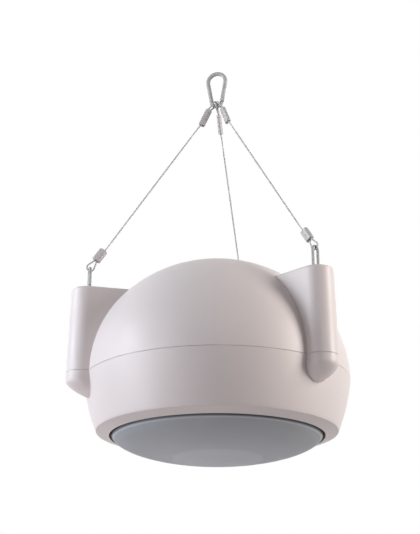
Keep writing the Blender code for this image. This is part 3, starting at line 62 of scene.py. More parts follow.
SEAM_LEVEL = -0.4772        # seam plane of the enclosure in the frame
TOUCH_GAP = 0.0003          # between pieces that touch
SHARP_ANGLE = 35.0          # degrees over which an edge stays sharp, unless a piece has its own
ROW_STEP = math.sqrt(3.0)   # distance of rows in pitches, in a staggered pattern
WHITE = (1.0, 1.0, 1.0)
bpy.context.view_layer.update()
LEG_AZIMUTHS = (0.0, 2 * math.pi / 3, 4 * math.pi / 3)


class Body(Enum):
    """Rigid bodies that pieces ride on."""

    PENDANT = "pendant"
    GATE = "hook_gate"
    KNOB = "selector_knob"
    CONE = "woofer_cone"


class Way(Enum):
    """Ways to close a skin of rings."""

    OPEN = "open"
    LOOP = "loop"
    CAPPED = "capped"


# Meshes


def smooth_object(name: str, mesh: bpy.types.Mesh, sharp: float = SHARP_ANGLE) -> bpy.types.Object:
    """Make an object of a mesh, shaded smooth with its sharp edges kept.

    Args:
        name: Name of the object.
        mesh: Mesh to show.
        sharp: Angle in degrees over which an edge stays sharp.

    Returns:
        The new object, linked to the scene.
    """
    mesh.shade_smooth()
    mesh.set_sharp_from_angle(angle=math.radians(sharp))
    made = bpy.data.objects.new(name, mesh)
    bpy.context.scene.collection.objects.link(made)
    return made


def outward(mesh: bpy.types.Mesh) -> bpy.types.Mesh:
    """Turn the faces of a closed mesh outward.

    Args:
        mesh: Mesh to turn.

    Returns:
        The same mesh.
    """
    work = bmesh.new()
    work.from_mesh(mesh)
    bmesh.ops.recalc_face_normals(work, faces=work.faces)
    work.to_mesh(mesh)
    work.free()
    return mesh


def skin(name: str, rings: Sequence[Sequence[Point]], way: Way = Way.LOOP) -> bpy.types.Mesh:
    """Skin a run of rings that have as many points each.

    Args:
        name: Name of the mesh.
        rings: Rings of points, each one closed.
        way: Whether the last ring joins the first, is capped, or is left open.

    Returns:
        The mesh, its faces turned outward.
    """
    count = len(rings[0])
    points = [tuple(point) for ring in rings for point in ring]
    faces: list[tuple[int, ...]] = []
    last = len(rings) if way is Way.LOOP else len(rings) - 1
    for row in range(last):
        low = row * count
        high = ((row + 1) % len(rings)) * count
        for i in range(count):
            j = (i + 1) % count
            faces.append((low + i, low + j, high + j, high + i))
    if way is Way.CAPPED:
        faces.append(tuple(reversed(range(count))))
        faces.append(tuple(range((len(rings) - 1) * count, len(rings) * count)))
    mesh = bpy.data.meshes.new(name)
    mesh.from_pydata(points, [], faces)
    return outward(mesh)


def turned(name: str, profile: Sequence[Flat], steps: int, ring: bool = True) -> bpy.types.Mesh:
    """Turn a profile of (radius, height) points about Z.

    Args:
        name: Name of the mesh.
        profile: Points of the profile.
        steps: Facets round the axis.
        ring: True for a closed profile, False for one whose ends lie on the axis.

    Returns:
        The turned mesh.
    """
    angles = [2 * math.pi * k / steps for k in range(steps)]
    rings = [[(*polar(radius, angle), height) for angle in angles] for radius, height in profile]
    if ring:
        return skin(name, rings)
    inner = rings[1:-1]
    mesh = skin(name, inner, Way.OPEN)
    work = bmesh.new()
    work.from_mesh(mesh)
    work.verts.ensure_lookup_table()
    for first, height in ((0, profile[0][1]), ((len(inner) - 1) * steps, profile[-1][1])):
        centre = work.verts.new((0.0, 0.0, height))
        for k in range(steps):
            work.verts.ensure_lookup_table()
            work.faces.new((work.verts[first + k], work.verts[first + (k + 1) % steps], centre))
    work.to_mesh(mesh)
    work.free()
    return outward(mesh)


def frames_along(path: Sequence[Vector], closed: bool = False) -> list[tuple[Vector, Vector]]:
    """Directions across a path that turn with it as little as they can.

    Args:
        path: Points of the path.
        closed: Whether the path runs back to its start.

    Returns:
        Two unit vectors across the path at each point.
    """
    count = len(path)
    tangents = []
    for i in range(count):
        ahead = path[(i + 1) % count] if closed else path[min(i + 1, count - 1)]
        behind = path[i - 1] if closed or i else path[0]
        tangents.append((ahead - behind).normalized())
    helper = Vector((0, 0, 1)) if abs(tangents[0].z) < 0.9 else Vector((1, 0, 0))
    across = tangents[0].cross(helper).normalized()
    result = []
    for tangent in tangents:
        across = (across - tangent * across.dot(tangent)).normalized()
        result.append((across, tangent.cross(across)))
    return result


def tube_rings(
    path: Sequence[Vector], radius: float, sides: int, closed: bool = False, ends: float = 0.0,
) -> list[list[Point]]:
    """Rings of points round a path.

    Args:
        path: Points of the path.
        radius: Radius of the tube.
        sides: Points round it.
        closed: Whether the path runs back to its start.
        ends: Radius of the rounding of open ends.

    Returns:
        One ring for each point, and two more at each rounded end.
    """
    sections = [(point, radius, pair) for point, pair in zip(path, frames_along(path, closed))]
    if ends and not closed:
        rounded = []
        for end, inner, section in ((path[0], path[1], sections[0]), (path[-1], path[-2], sections[-1])):
            out = (end - inner).normalized() * ends
            rounded.append([(end + out, radius - ends, section[2]),
                            (end + out * 0.7, radius - ends * 0.3, section[2])])
        sections = rounded[0] + sections + rounded[1][::-1]
    rings = []
    for centre, size, (across, beside) in sections:
        ring = []
        for k in range(sides):
            angle = 2 * math.pi * k / sides
            offset = (across * math.cos(angle) + beside * math.sin(angle)) * size
            ring.append(tuple(centre + offset))
        rings.append(ring)
    return rings


def merged(name: str, meshes: Sequence[bpy.types.Mesh]) -> bpy.types.Mesh:
    """Put several meshes into one.

    Args:
        name: Name of the result.
        meshes: Meshes to gather.

    Returns:
        The gathered mesh.
    """
    work = bmesh.new()
    for mesh in meshes:
        work.from_mesh(mesh)
    made = bpy.data.meshes.new(name)
    work.to_mesh(made)
    work.free()
    return made


def block(size: Point, centre: Point, bevel: float) -> bpy.types.Mesh:
    """Make a box with softened edges.

    Args:
        size: Lengths along X, Y and Z.
        centre: Its centre.
        bevel: Width of the softened edges.

    Returns:
        The mesh.
    """
    work = bmesh.new()
    place = Matrix.Translation(centre) @ Matrix.Diagonal((*size, 1.0))
    bmesh.ops.create_cube(work, size=1.0, matrix=place)
    bmesh.ops.bevel(work, geom=work.edges, offset=bevel, segments=2, affect="EDGES")
    mesh = bpy.data.meshes.new("block")
    work.to_mesh(mesh)
    work.free()
    return outward(mesh)


def polar(radius: float, angle: float) -> Flat:
    """Point at a radius and an angle in radians."""
    return (radius * math.cos(angle), radius * math.sin(angle))


def mixed(a: float, b: float, part: float) -> float:
    """Go from one number to another by a part from 0 to 1."""
    return a + (b - a) * part


def spread(low: float, high: float, count: int) -> list[float]:
    """Evenly spaced numbers from low to high, both included."""
    return [mixed(low, high, k / (count - 1)) for k in range(count)]


def soft_max(a: float, b: float, blend: float) -> float:
    """The larger of two lengths, with a fillet where they meet."""
    return (a + b + math.sqrt((a - b) ** 2 + blend ** 2)) / 2


def over_seam(profile: Sequence[Flat]) -> list[Flat]:
    """A profile given by heights over the seam, moved to its height in the frame."""
    return [(radius, height + SEAM_LEVEL) for radius, height in profile]


# Finishes


class Shader:
    """A Principled material whose nodes are added one by one."""

    def __init__(self, name: str) -> None:
        """Start a material.

        Args:
            name: Name of the material.
        """
        self.material = bpy.data.materials.new(name)
        self.material.use_nodes = True
        self.nodes = self.material.node_tree.nodes
        self.links = self.material.node_tree.links
        self.surface = self.nodes["Principled BSDF"]
        self.place = self.add("ShaderNodeTexCoord").outputs["Object"]

    def add(self, kind: str, **sockets: object) -> bpy.types.Node:
        """Add a node and set or link its inputs.

        Args:
            kind: Type of the node.
            sockets: Input names, with spaces as underscores, and a value or an output.

        Returns:
            The node.
        """
        node = self.nodes.new(kind)
        for label, value in sockets.items():
            self.feed(node.inputs[label.replace("_", " ")], value)
        return node

    def feed(self, socket: bpy.types.NodeSocket, value: object) -> None:
        """Link an output to a socket, or set the socket's own value.

        Args:
            socket: Input socket.
            value: Output to link, or value to set.
        """
        if isinstance(value, bpy.types.NodeSocket):
            self.links.new(value, socket)
        else:
            socket.default_value = value

    def math(self, operation: str, *values: object) -> bpy.types.NodeSocket:
        """Add a Math node.

        Args:
            operation: Blender's name of the operation.
            values: Numbers or outputs for its inputs, in order.

        Returns:
            The node's output.
        """
        node = self.nodes.new("ShaderNodeMath")
        node.operation = operation
        for socket, value in zip(node.inputs, values):
            self.feed(socket, value)
        return node.outputs[0]

    def length(self, x: object, y: object) -> bpy.types.NodeSocket:
        """Length of a flat vector."""
        squares = self.math("ADD", self.math("MULTIPLY", x, x), self.math("MULTIPLY", y, y))
        return self.math("SQRT", squares)

    def noise(self, scale: float, detail: float) -> bpy.types.NodeSocket:
        """Noise over the object's own coordinates, as a number round a half."""
        return self.add("ShaderNodeTexNoise", Vector=self.place, Scale=scale, Detail=detail).outputs[0]

    def patches(
        self, scale: float, detail: float, start: float = 0.0, end: float = 1.0,
    ) -> bpy.types.NodeSocket:
        """Soft patches of noise that go from a start to an end."""
        low, high = 0.3, 0.7
        return self.ramp(self.noise(scale, detail), low, high, start, end)

    def ramp(
        self, value: object, low: float, high: float, start: float = 0.0, end: float = 1.0,
    ) -> bpy.types.NodeSocket:
        """Map a number from one range to another, held at both ends.

        Args:
            value: Number or output to map.
            low: Start of its range.
            high: End of its range.
            start: Result at the start.
            end: Result at the end.

        Returns:
            The mapped number.
        """
        node = self.nodes.new("ShaderNodeMapRange")
        for socket, given in zip(node.inputs, (value, low, high, start, end)):
            self.feed(socket, given)
        return node.outputs[0]

    def blend(
        self, part: object, first: object, second: object, kind: str = "MIX",
    ) -> bpy.types.NodeSocket:
        """Mix two colours.

        Args:
            part: Part of the second colour, from 0 to 1.
            first: First colour.
            second: Second colour.
            kind: Blender's name of the kind of mix.

        Returns:
            The mixed colour.
        """
        node = self.nodes.new("ShaderNodeMix")
        node.data_type = "RGBA"
        node.blend_type = kind
        for index, value in ((0, part), (6, first), (7, second)):
            self.feed(node.inputs[index], value)
        return node.outputs[2]

    def bump(self, height: object, depth: float, strength: float = 1.0) -> None:
        """Raise the surface by a height, at most by a depth in metres."""
        node = self.add("ShaderNodeBump", Height=height, Distance=depth, Strength=strength)
        self.links.new(node.outputs[0], self.surface.inputs["Normal"])


def tint(colour: Colour, factor: float = 1.0) -> tuple[float, float, float, float]:
    """A colour made lighter or darker, with its alpha."""
    return (*(min(1.0, c * factor) for c in colour), 1.0)


@dataclass(frozen=True)
class Finish:
    """A finish with mottled colour and a fine grain."""

    name: str
    colour: Colour
    roughness: float = 0.5
    metallic: float = 0.0
    mottle: float = 0.06
    mottle_scale: float = 30.0
    grain_scale: float = 900.0
    grain_depth: float = 0.00004
    roughness_play: float = 0.06

    def make(self) -> bpy.types.Material:
        """Build the finish's material.

        Returns:
            The material.
        """
        shader = Shader(self.name)
        dark, light = tint(self.colour, 1 - self.mottle), tint(self.colour, 1 + self.mottle)
        colour = shader.blend(shader.patches(self.mottle_scale, 4.0), dark, light)
        shader.feed(shader.surface.inputs["Base Color"], colour)
        rough = shader.patches(self.mottle_scale * 3, 3.0,
                               max(0.05, self.roughness - self.roughness_play),
                               min(1.0, self.roughness + self.roughness_play))
        shader.feed(shader.surface.inputs["Roughness"], rough)
        shader.surface.inputs["Metallic"].default_value = self.metallic
        shader.bump(shader.noise(self.grain_scale, 2.0), self.grain_depth)
        return shader.material


@dataclass(frozen=True)
class PerforatedFinish:
    """Painted sheet steel with round holes in a staggered pattern, with painted shade towards its rim and a
    painted shadow in the gap at its edge.
    """

    name: str
    paint: Colour
    hole: Colour
    pitch: float
    hole_radius: float
    rim_radius: float
    # Radius at which the painted shadow in the gap under the lip starts.
    gap_shade_radius: float
    centre_radius: float
    centre_lift: float
    # Brightness of the painted shade at the rim, which stands in for the lip's shadow.
    rim_painted_shade: float
    # Brightness of the painted shadow in the gap at the grille's edge.
    gap_painted_shade: float = 0.12
    hole_blur: float = 0.2
    rim_blur: float = 0.0008
    centre_blur: float = 0.0025
    # Softness of the painted gap shadow, inside and outside its radius.
    gap_shade_blur: tuple[float, float] = (0.0012, 0.0004)
    mottle: float = 0.03
    mottle_scale: float = 14.0
    hole_roughness: float = 0.80
    paint_roughness: float = 0.48
    hole_depth: float = 0.0003
    hole_strength: float = 0.6

    def lattice(self, shader: Shader, x: object, y: object, shift: float) -> bpy.types.NodeSocket:
        """Distance to the nearest hole of one of the two crossed lattices.

        Args:
            shader: Material to add to.
            x: Place along X, in pitches.
            y: Place along Y, in rows.
            shift: 0 for the first lattice, a half for the second.

        Returns:
            The distance in pitches.
        """
        across, along = (
            shader.math("SUBTRACT", shader.math("FRACT", shader.math("ADD", place, shift)), 0.5)
            for place in (x, y))
        return shader.length(across, shader.math("MULTIPLY", along, ROW_STEP))

    def make(self) -> bpy.types.Material:
        """Build the finish's material.

        Returns:
            The material.
        """
        shader = Shader(self.name)
        parts = shader.add("ShaderNodeSeparateXYZ", Vector=shader.place)
        x, y = parts.outputs[0], parts.outputs[1]
        columns = shader.math("DIVIDE", x, self.pitch)
        rows = shader.math("DIVIDE", y, self.pitch * ROW_STEP)
        near = shader.math("MINIMUM", self.lattice(shader, columns, rows, 0.0),
                           self.lattice(shader, columns, rows, 0.5))
        size = self.hole_radius / self.pitch
        radius = shader.length(x, y)
        rim = shader.ramp(radius, self.rim_radius - self.rim_blur, self.rim_radius + self.rim_blur)
        holes = shader.ramp(near, size * (1 - self.hole_blur), size * (1 + self.hole_blur))
        metal = shader.math("MAXIMUM", holes, rim)
        centre = shader.ramp(radius, self.centre_radius - self.centre_blur,
                             self.centre_radius + self.centre_blur, 1.0, 0.0)
        behind = shader.blend(centre, tint(self.hole), tint(self.hole, self.centre_lift))
        paint = shader.blend(shader.patches(self.mottle_scale, 3.0),
                             tint(self.paint, 1 - self.mottle), tint(self.paint, 1 + self.mottle))
        # Painted shade: the colour darkens from the centre out to the rim, standing in for the lip's shadow
        # on the grille.
        painted_rim_fade = shader.ramp(radius, self.centre_radius, self.rim_radius)
        shade = shader.blend(painted_rim_fade, tint(WHITE), tint(WHITE, self.rim_painted_shade))
        shade = shader.blend(rim, shade, tint(WHITE))
        # Painted shadow: a dark ring at the outer edge and on the upright wall stands in for the shade in the
        # gap under the lip.
        edge = shader.ramp(radius, self.gap_shade_radius - self.gap_shade_blur[0], self.gap_shade_radius + self.gap_shade_blur[1])
        shade = shader.blend(edge, shade, tint(WHITE, self.gap_painted_shade))
        colour = shader.blend(1.0, shader.blend(metal, behind, paint), shade, "MULTIPLY")
        shader.feed(shader.surface.inputs["Base Color"], colour)
        rough = shader.ramp(metal, 0.0, 1.0, self.hole_roughness, self.paint_roughness)
        shader.feed(shader.surface.inputs["Roughness"], rough)
        shader.bump(metal, self.hole_depth, self.hole_strength)
        return shader.material


class Palette:
    """The finishes of the speaker, each made once."""

    SHELL = Finish("satin_shell", (0.80, 0.735, 0.730), 0.42, 0.0, 0.012, 9.0, 1400.0, 0.00002, 0.04)
    ZINC = Finish("bright_zinc", (0.40, 0.405, 0.41), 0.60, 0.25, 0.04, 160.0, 2500.0, 0.000008, 0.04)
    HOOK = Finish("worn_zinc", (0.47, 0.475, 0.47), 0.62, 0.20, 0.05, 120.0, 2500.0, 0.000008, 0.04)
    ROPE = Finish("rope_steel", (0.58, 0.58, 0.585), 0.65, 0.20, 0.04, 500.0, 5000.0, 0.000008, 0.04)
    SLEEVE = Finish("crimped_aluminium", (0.52, 0.50, 0.50), 0.58, 0.25, 0.05, 160.0, 2500.0, 0.000008, 0.04)
    BLACK = Finish("black_plastic", (0.035, 0.035, 0.037), 0.42, 0.0, 0.12, 60.0, 1600.0, 0.00003, 0.08)
    LAMINATE = Finish("green_laminate", (0.05, 0.22, 0.11), 0.45, 0.0, 0.10, 90.0, 1200.0, 0.00003, 0.08)
    BLACK_STEEL = Finish("black_steel", (0.045, 0.045, 0.05), 0.38, 0.5, 0.10, 90.0, 1800.0, 0.00003, 0.08)
    BOARD = Finish("pressed_board", (0.055, 0.05, 0.047), 0.80, 0.0, 0.14, 240.0, 1500.0, 0.0001, 0.06)
    PAPER = Finish("pulp_cone", (0.05, 0.05, 0.05), 0.85, 0.0, 0.22, 320.0, 1100.0, 0.00015, 0.06)
    RUBBER = Finish("soft_rubber", (0.025, 0.025, 0.025), 0.62, 0.0, 0.10, 60.0, 1400.0, 0.00003, 0.06)
    CLOTH = Finish("spider_cloth", (0.46, 0.33, 0.13), 0.90, 0.0, 0.14, 400.0, 1800.0, 0.0002, 0.04)
    FERRITE = Finish("ferrite", (0.085, 0.085, 0.09), 0.72, 0.1, 0.14, 180.0, 900.0, 0.00008, 0.06)
    COPPER = Finish("enamelled_copper", (0.70, 0.32, 0.15), 0.32, 1.0, 0.10, 420.0, 1600.0, 0.00008, 0.08)
    FELT = Finish("grey_felt", (0.23, 0.23, 0.24), 0.97, 0.0, 0.20, 260.0, 700.0, 0.0004, 0.02)
    TITANIUM = Finish("titanium", (0.56, 0.56, 0.59), 0.28, 1.0, 0.05, 120.0, 2200.0, 0.00002, 0.05)
    SCREW = Finish("screw_steel", (0.58, 0.57, 0.55), 0.32, 1.0, 0.10, 500.0, 2600.0, 0.00003, 0.10)
    # Here 0.1399 is where the painted gap shadow starts, and 0.74 is the brightness of the painted shade at
    # the rim.
    GRILLE = PerforatedFinish("perforated_steel", (0.66, 0.70, 0.76), (0.25, 0.265, 0.30),
                              0.0016, 0.00045, 0.1385, 0.1399, 0.060, 1.8, 0.74)

    def __init__(self) -> None:
        """Start with no material made."""
        self.made: dict[str, bpy.types.Material] = {}

    def get(self, finish: Finish | PerforatedFinish) -> bpy.types.Material:
        """Find the material of a finish, and make it at its first use.

        Args:
            finish: Finish to look up.

        Returns:
            Its material.
        """
        if finish.name not in self.made:
            self.made[finish.name] = finish.make()
        return self.made[finish.name]


PALETTE = Palette()


def dress(
    name: str, mesh: bpy.types.Mesh, finish: Finish | PerforatedFinish,
    stands_for: Sequence[str] = (), body: Body = Body.PENDANT, sharp: float = SHARP_ANGLE,
) -> None:
    """Make a piece and give it its finish, its body and the nodes it stands for.

    Args:
        name: Name of the piece.
        mesh: Its mesh.
        finish: Its finish.
        stands_for: Nodes that the piece replaces.
        body: Rigid body that it rides on.
        sharp: Angle in degrees over which an edge stays sharp.
    """
    piece = smooth_object(name, mesh, sharp)
    piece.data.materials.append(PALETTE.get(finish))
    if stands_for:
        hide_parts(*stands_for)
    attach(piece, body.value)
    LOG.info("%s: %d faces on %s", name, len(mesh.polygons), body.value)


# Enclosure


@dataclass(frozen=True)
class LobeShape:
    """Plan and height of a lobe, as a distance from the axis at an angle from its middle."""

    half_width: float = 0.0215
    reach: float = 0.2058
    draft: float = 0.0232
    top: float = 0.1168
    rounding: float = 0.0032
    tip_start: float = 0.0100
    tip_depth: float = 0.0320
    tip_run: float = 0.0305
    tip_curve: float = 1.7
    least_half: float = 0.0005

    def radius(self, angle: float, height: float, shrink: float = 0.0) -> float:
        """Distance from the axis to the lobe's side.

        Args:
            angle: Angle from the lobe's middle, in radians.
            height: Height over the seam.
            shrink: How far the side is moved in.

        Returns:
            The distance, or 0 where the lobe doesn't reach.
        """
        below = max(0.0, -height - self.tip_start) / (self.tip_depth - self.tip_start)
        if below >= 1.0:
            return 0.0
        lean = self.draft * max(height, 0.0) + self.tip_run * below ** self.tip_curve
        reach = self.reach - lean - shrink
        half = max(self.half_width * math.sqrt(1 - below ** 2) - shrink, self.least_half)
        nose = reach - half
        away = abs(math.sin(angle))
        inside = half ** 2 - (nose * away) ** 2
        if inside > 0:
            out = nose * math.cos(angle) + math.sqrt(inside)
            if out * math.cos(angle) >= nose:
                return out
        return half / max(away, 1e-6)


@dataclass(frozen=True)
class Enclosure:
    """The two shells of the enclosure, with the lobes that carry the eyebolts."""

    seam_radius: float = 0.180
    dome_height: float = 0.1678
    wall: float = 0.0035
    land_radius: float = 0.052
    land_seat: float = 0.0462
    seat_depth: float = 0.0028
    cup_bore: float = 0.0380
    belly_depth: float = 0.0696
    lip_outer: float = 0.1619
    belly_bulge: float = 0.00265
    lip_inner: float = 0.1441
    lip_depth: float = 0.0754
    ledge_level: float = -0.0590
    ledge_bore: float = 0.128
    seam_gap: float = 0.00015
    seam_chamfer: float = 0.0004
    fillet: float = 0.0012
    crease_depth: float = 0.0022
    crease_run: float = 0.0028
    inner_fillet: float = 0.002
    roof_wall: float = 0.0045
    roof_rise: float = 0.0009
    roof_rings: int = 9
    roof_ease: float = 0.8
    roof_end: float = 0.0016
    land_edge: float = 0.0006
    land_lift: float = 0.0001
    seat_edge: float = 0.0004
    seat_drop: float = 0.0003
    side_rings: int = 38
    dome_rings: int = 22
    inner_rings: int = 9
    first_side: float = 0.002
    lip_edge: Flat = (0.0004, 0.0002)
    lip_parts: tuple[float, ...] = (0.08, 0.3, 0.55, 0.8, 0.95)
    lip_corner: Flat = (0.0003, 0.0004)
    grille_level: float = -0.070
    ledge_sheet: float = 0.0032
    ledge_step: float = 0.003
    hollow_start: float = -0.054
    tip_level: float = -0.006
    tip_floor: float = 0.003
    bands: tuple[tuple[float, int], ...] = ((5.2, 11), (9.8, 27), (12.0, 6), (60.0, 19))
    lobe: LobeShape = LobeShape()

    def columns(self) -> list[tuple[float, float]]:
        """Angles round the enclosure, each with its angle from the nearest lobe's middle.

        Returns:
            Pairs of azimuth and angle from the lobe, in radians, all the way round.
        """
        half = [0.0]
        for degrees, count in self.bands:
            half += spread(half[-1], degrees, count)[1:]
        side = [-degrees for degrees in half[-2:0:-1]] + half
        pairs = []
        for turn in LEG_AZIMUTHS:
            for degrees in side:
                offset = math.radians(degrees)
                pairs.append((math.pi / 2 + turn + offset, offset))
        return pairs

    def ring(self, distance: Callable[[float], float], height: float) -> list[Point]:
        """One level ring of a shell.

        Args:
            distance: Distance from the axis at an angle from the lobe's middle.
            height: Height over the seam.

        Returns:
            The ring's points in the frame.
        """
        level = height + SEAM_LEVEL
        return [(*polar(distance(offset), azimuth), level) for azimuth, offset in self.columns()]

    def circles(self, profile: Sequence[Flat]) -> list[list[Point]]:
        """Round rings at the points of a profile over the seam."""
        return [self.ring(lambda offset: radius, height) for radius, height in profile]

    def dome(self, height: float, inset: float = 0.0) -> float:
        """Radius of the dome at a height, moved in by an inset."""
        tall = self.dome_height - inset
        return (self.seam_radius - inset) * math.sqrt(max(0.0, 1 - (height / tall) ** 2))

    def belly(self, height: float, inset: float = 0.0) -> float:
        """Radius of the belly under the seam.

        Args:
            height: Height over the seam, 0 or less.
            inset: How far the radius is moved in.

        Returns:
            The radius.
        """
        part = -height / self.belly_depth
        bow = 4 * self.belly_bulge * part * (1 - part)
        return mixed(self.seam_radius, self.lip_outer, part) + bow - inset

    def joined(self, wall: float, lobe: float) -> float:
        """Distance from the axis where a wall meets a lobe, with a crease between them.

        Args:
            wall: Distance to the dome or the belly.
            lobe: Distance to the lobe's side.

        Returns:
            The distance to the outer side.
        """
        crease = self.crease_depth * math.exp(-((wall - lobe) / self.crease_run) ** 2)
        return soft_max(wall, lobe, self.fillet) - crease

    def outer(
        self, wall: Callable[[float], float], height: float, shrink: float = 0.0, inset: float = 0.0,
    ) -> list[Point]:
        """Level ring of a shell's outer side, lobes included.

        Args:
            wall: Radius of the dome or the belly at a height.
            height: Height over the seam.
            shrink: How far the lobes' sides are moved in.
            inset: How far the whole ring is moved in.

        Returns:
            The ring's points in the frame.
        """
        return self.ring(lambda offset: self.joined(
            wall(height), self.lobe.radius(offset, height, shrink)) - inset, height)

    def inner(self, wall: float, height: float, lobe_height: float) -> list[Point]:
        """Level ring of a shell's inner side, lobes included.

        Args:
            wall: Radius of the inner wall at this height.
            height: Height over the seam.
            lobe_height: Height at which the lobes' hollows are taken.

        Returns:
            The ring's points in the frame.
        """
        return self.ring(lambda offset: soft_max(
            wall, self.lobe.radius(offset, lobe_height, self.wall), self.inner_fillet), height)

    def roof(self, height: float, share: float) -> list[Point]:
        """Level ring on the lobes' flat tops.

        Args:
            height: Height over the seam.
            share: Share of the way from the dome out to the lobe's edge.

        Returns:
            The ring's points in the frame.
        """
        lobe = self.lobe
        base = self.dome(lobe.top)
        return self.ring(lambda offset: self.dome(height) + share * (self.joined(
            base, lobe.radius(offset, lobe.top, lobe.rounding)) - base), height)

    def upper(self) -> bpy.types.Mesh:
        """Build the dome and its lobes, inside and out.

        Returns:
            The upper shell's mesh.
        """
        lobe = self.lobe
        start = self.seam_gap
        rings = [self.outer(self.dome, start, inset=self.seam_chamfer)]
        last = lobe.top - lobe.rounding - lobe.least_half
        for height in [start + self.seam_chamfer] + spread(self.first_side, last, self.side_rings):
            rings.append(self.outer(self.dome, height))
        for angle in spread(0.0, math.pi / 2, 7):
            rings.append(self.outer(self.dome, lobe.top - lobe.rounding * (1 - math.sin(angle)),
                                    lobe.rounding * (1 - math.cos(angle))))
        for part in spread(0.0, 1.0, self.roof_rings + 1)[1:]:
            rings.append(self.roof(lobe.top + self.roof_rise * part, 1 - part ** self.roof_ease))
        land = self.dome_height * math.sqrt(1 - (self.land_radius / self.seam_radius) ** 2)
        low, high = (math.asin(height / self.dome_height) for height in (lobe.top + self.roof_end, land))
        heights = [self.dome_height * math.sin(angle) for angle in spread(low, high, self.dome_rings)]
        profile = [(self.dome(height), height) for height in heights]
        seat = land - self.seat_depth
        under = seat - self.wall
        flat = land + self.land_lift
        profile += [(self.land_radius - self.land_edge, flat), (self.land_seat + self.seat_edge, flat),
                    (self.land_seat, land - self.seat_drop), (self.land_seat, seat),
                    (self.cup_bore, seat), (self.cup_bore, under)]
        roof = lobe.top - self.roof_wall
        profile += [(self.dome(height, self.wall), height)
                    for height in [under] + spread(under - 0.004, roof + 0.001, 6)]
        rings += self.circles(profile)
        for height in spread(roof, start, self.inner_rings):
            rings.append(self.inner(self.dome(height, self.wall), height, height))
        return skin("dome_shell", rings)

    def lower(self) -> bpy.types.Mesh:
        """Build the belly, its lip and the tips of the lobes, inside and out.

        Returns:
            The lower shell's mesh.
        """
        lobe = self.lobe
        start, drop = -self.seam_gap, lobe.tip_depth - lobe.tip_start
        rings = [self.outer(self.belly, start, inset=self.seam_chamfer)]
        heights = [start - self.seam_chamfer] + spread(-self.first_side, -lobe.tip_start, 5)
        heights += [-lobe.tip_start - drop * math.sin(math.radians(degrees))
                    for degrees in spread(6.0, 90.0, 26)]
        heights += spread(-lobe.tip_depth - self.first_side, -self.belly_depth + 0.0008, 12)
        rings += [self.outer(self.belly, height) for height in heights]
        bore, ledge = self.lip_inner, self.ledge_level
        lip = [(self.lip_outer - self.lip_edge[0], -self.belly_depth - self.lip_edge[1])]
        lip += [(mixed(self.lip_outer, bore, part), mixed(-self.belly_depth, -self.lip_depth, part))
                for part in self.lip_parts]
        shelf = ledge + self.ledge_sheet
        lip += [(bore + self.lip_corner[0], -self.lip_depth), (bore, -self.lip_depth + self.lip_corner[1]),
                (bore, self.grille_level), (bore, ledge), (self.ledge_bore, ledge),
                (self.ledge_bore, shelf), (bore + self.ledge_step, shelf)]
        rings += self.circles(lip)
        for height in spread(self.hollow_start, start, self.inner_rings):
            hollow = height - self.tip_floor if height < self.tip_level else height
            rings.append(self.inner(self.belly(height, self.wall), height, hollow))
        return skin("belly_shell", rings)

    def build(self) -> None:
        """Make and dress both shells."""
        dress("dome_shell", self.upper(), Palette.SHELL, ["upper_shell"], sharp=40.0)
        dress("belly_shell", self.lower(), Palette.SHELL, ["lower_shell"], sharp=28.0)


@dataclass(frozen=True)
class Grille:
    """The domed grille with its upright edge."""

    radius: float = 0.1410
    sag: float = 0.0325
    sheet: float = 0.0012
    edge_depth: float = 0.0740
    fullness: float = 1.15
    seat: float = -0.0653

    def side(self, offset: float) -> list[Flat]:
        """Profile from the seat down the upright edge and in to the axis.

        Args:
            offset: How far the profile is moved in.

        Returns:
            Points as distance from the axis and height over the seam.
        """
        radius, sag = self.radius - offset, self.sag - offset
        dome = [(radius * math.sin(angle), -self.edge_depth - sag * math.cos(angle) ** self.fullness)
                for angle in spread(math.pi / 2, 0.0, 46)[1:]]
        return [(radius, self.seat), (radius, -self.edge_depth)] + dome

    def build(self) -> None:
        """Make and dress the grille."""
        profile = over_seam(self.side(self.sheet)[::-1] + self.side(0.0))
        mesh = turned("grille_dome", profile, 144, ring=False)
        dress("grille_dome", mesh, Palette.GRILLE, ["grille"], sharp=50.0)


# Suspension


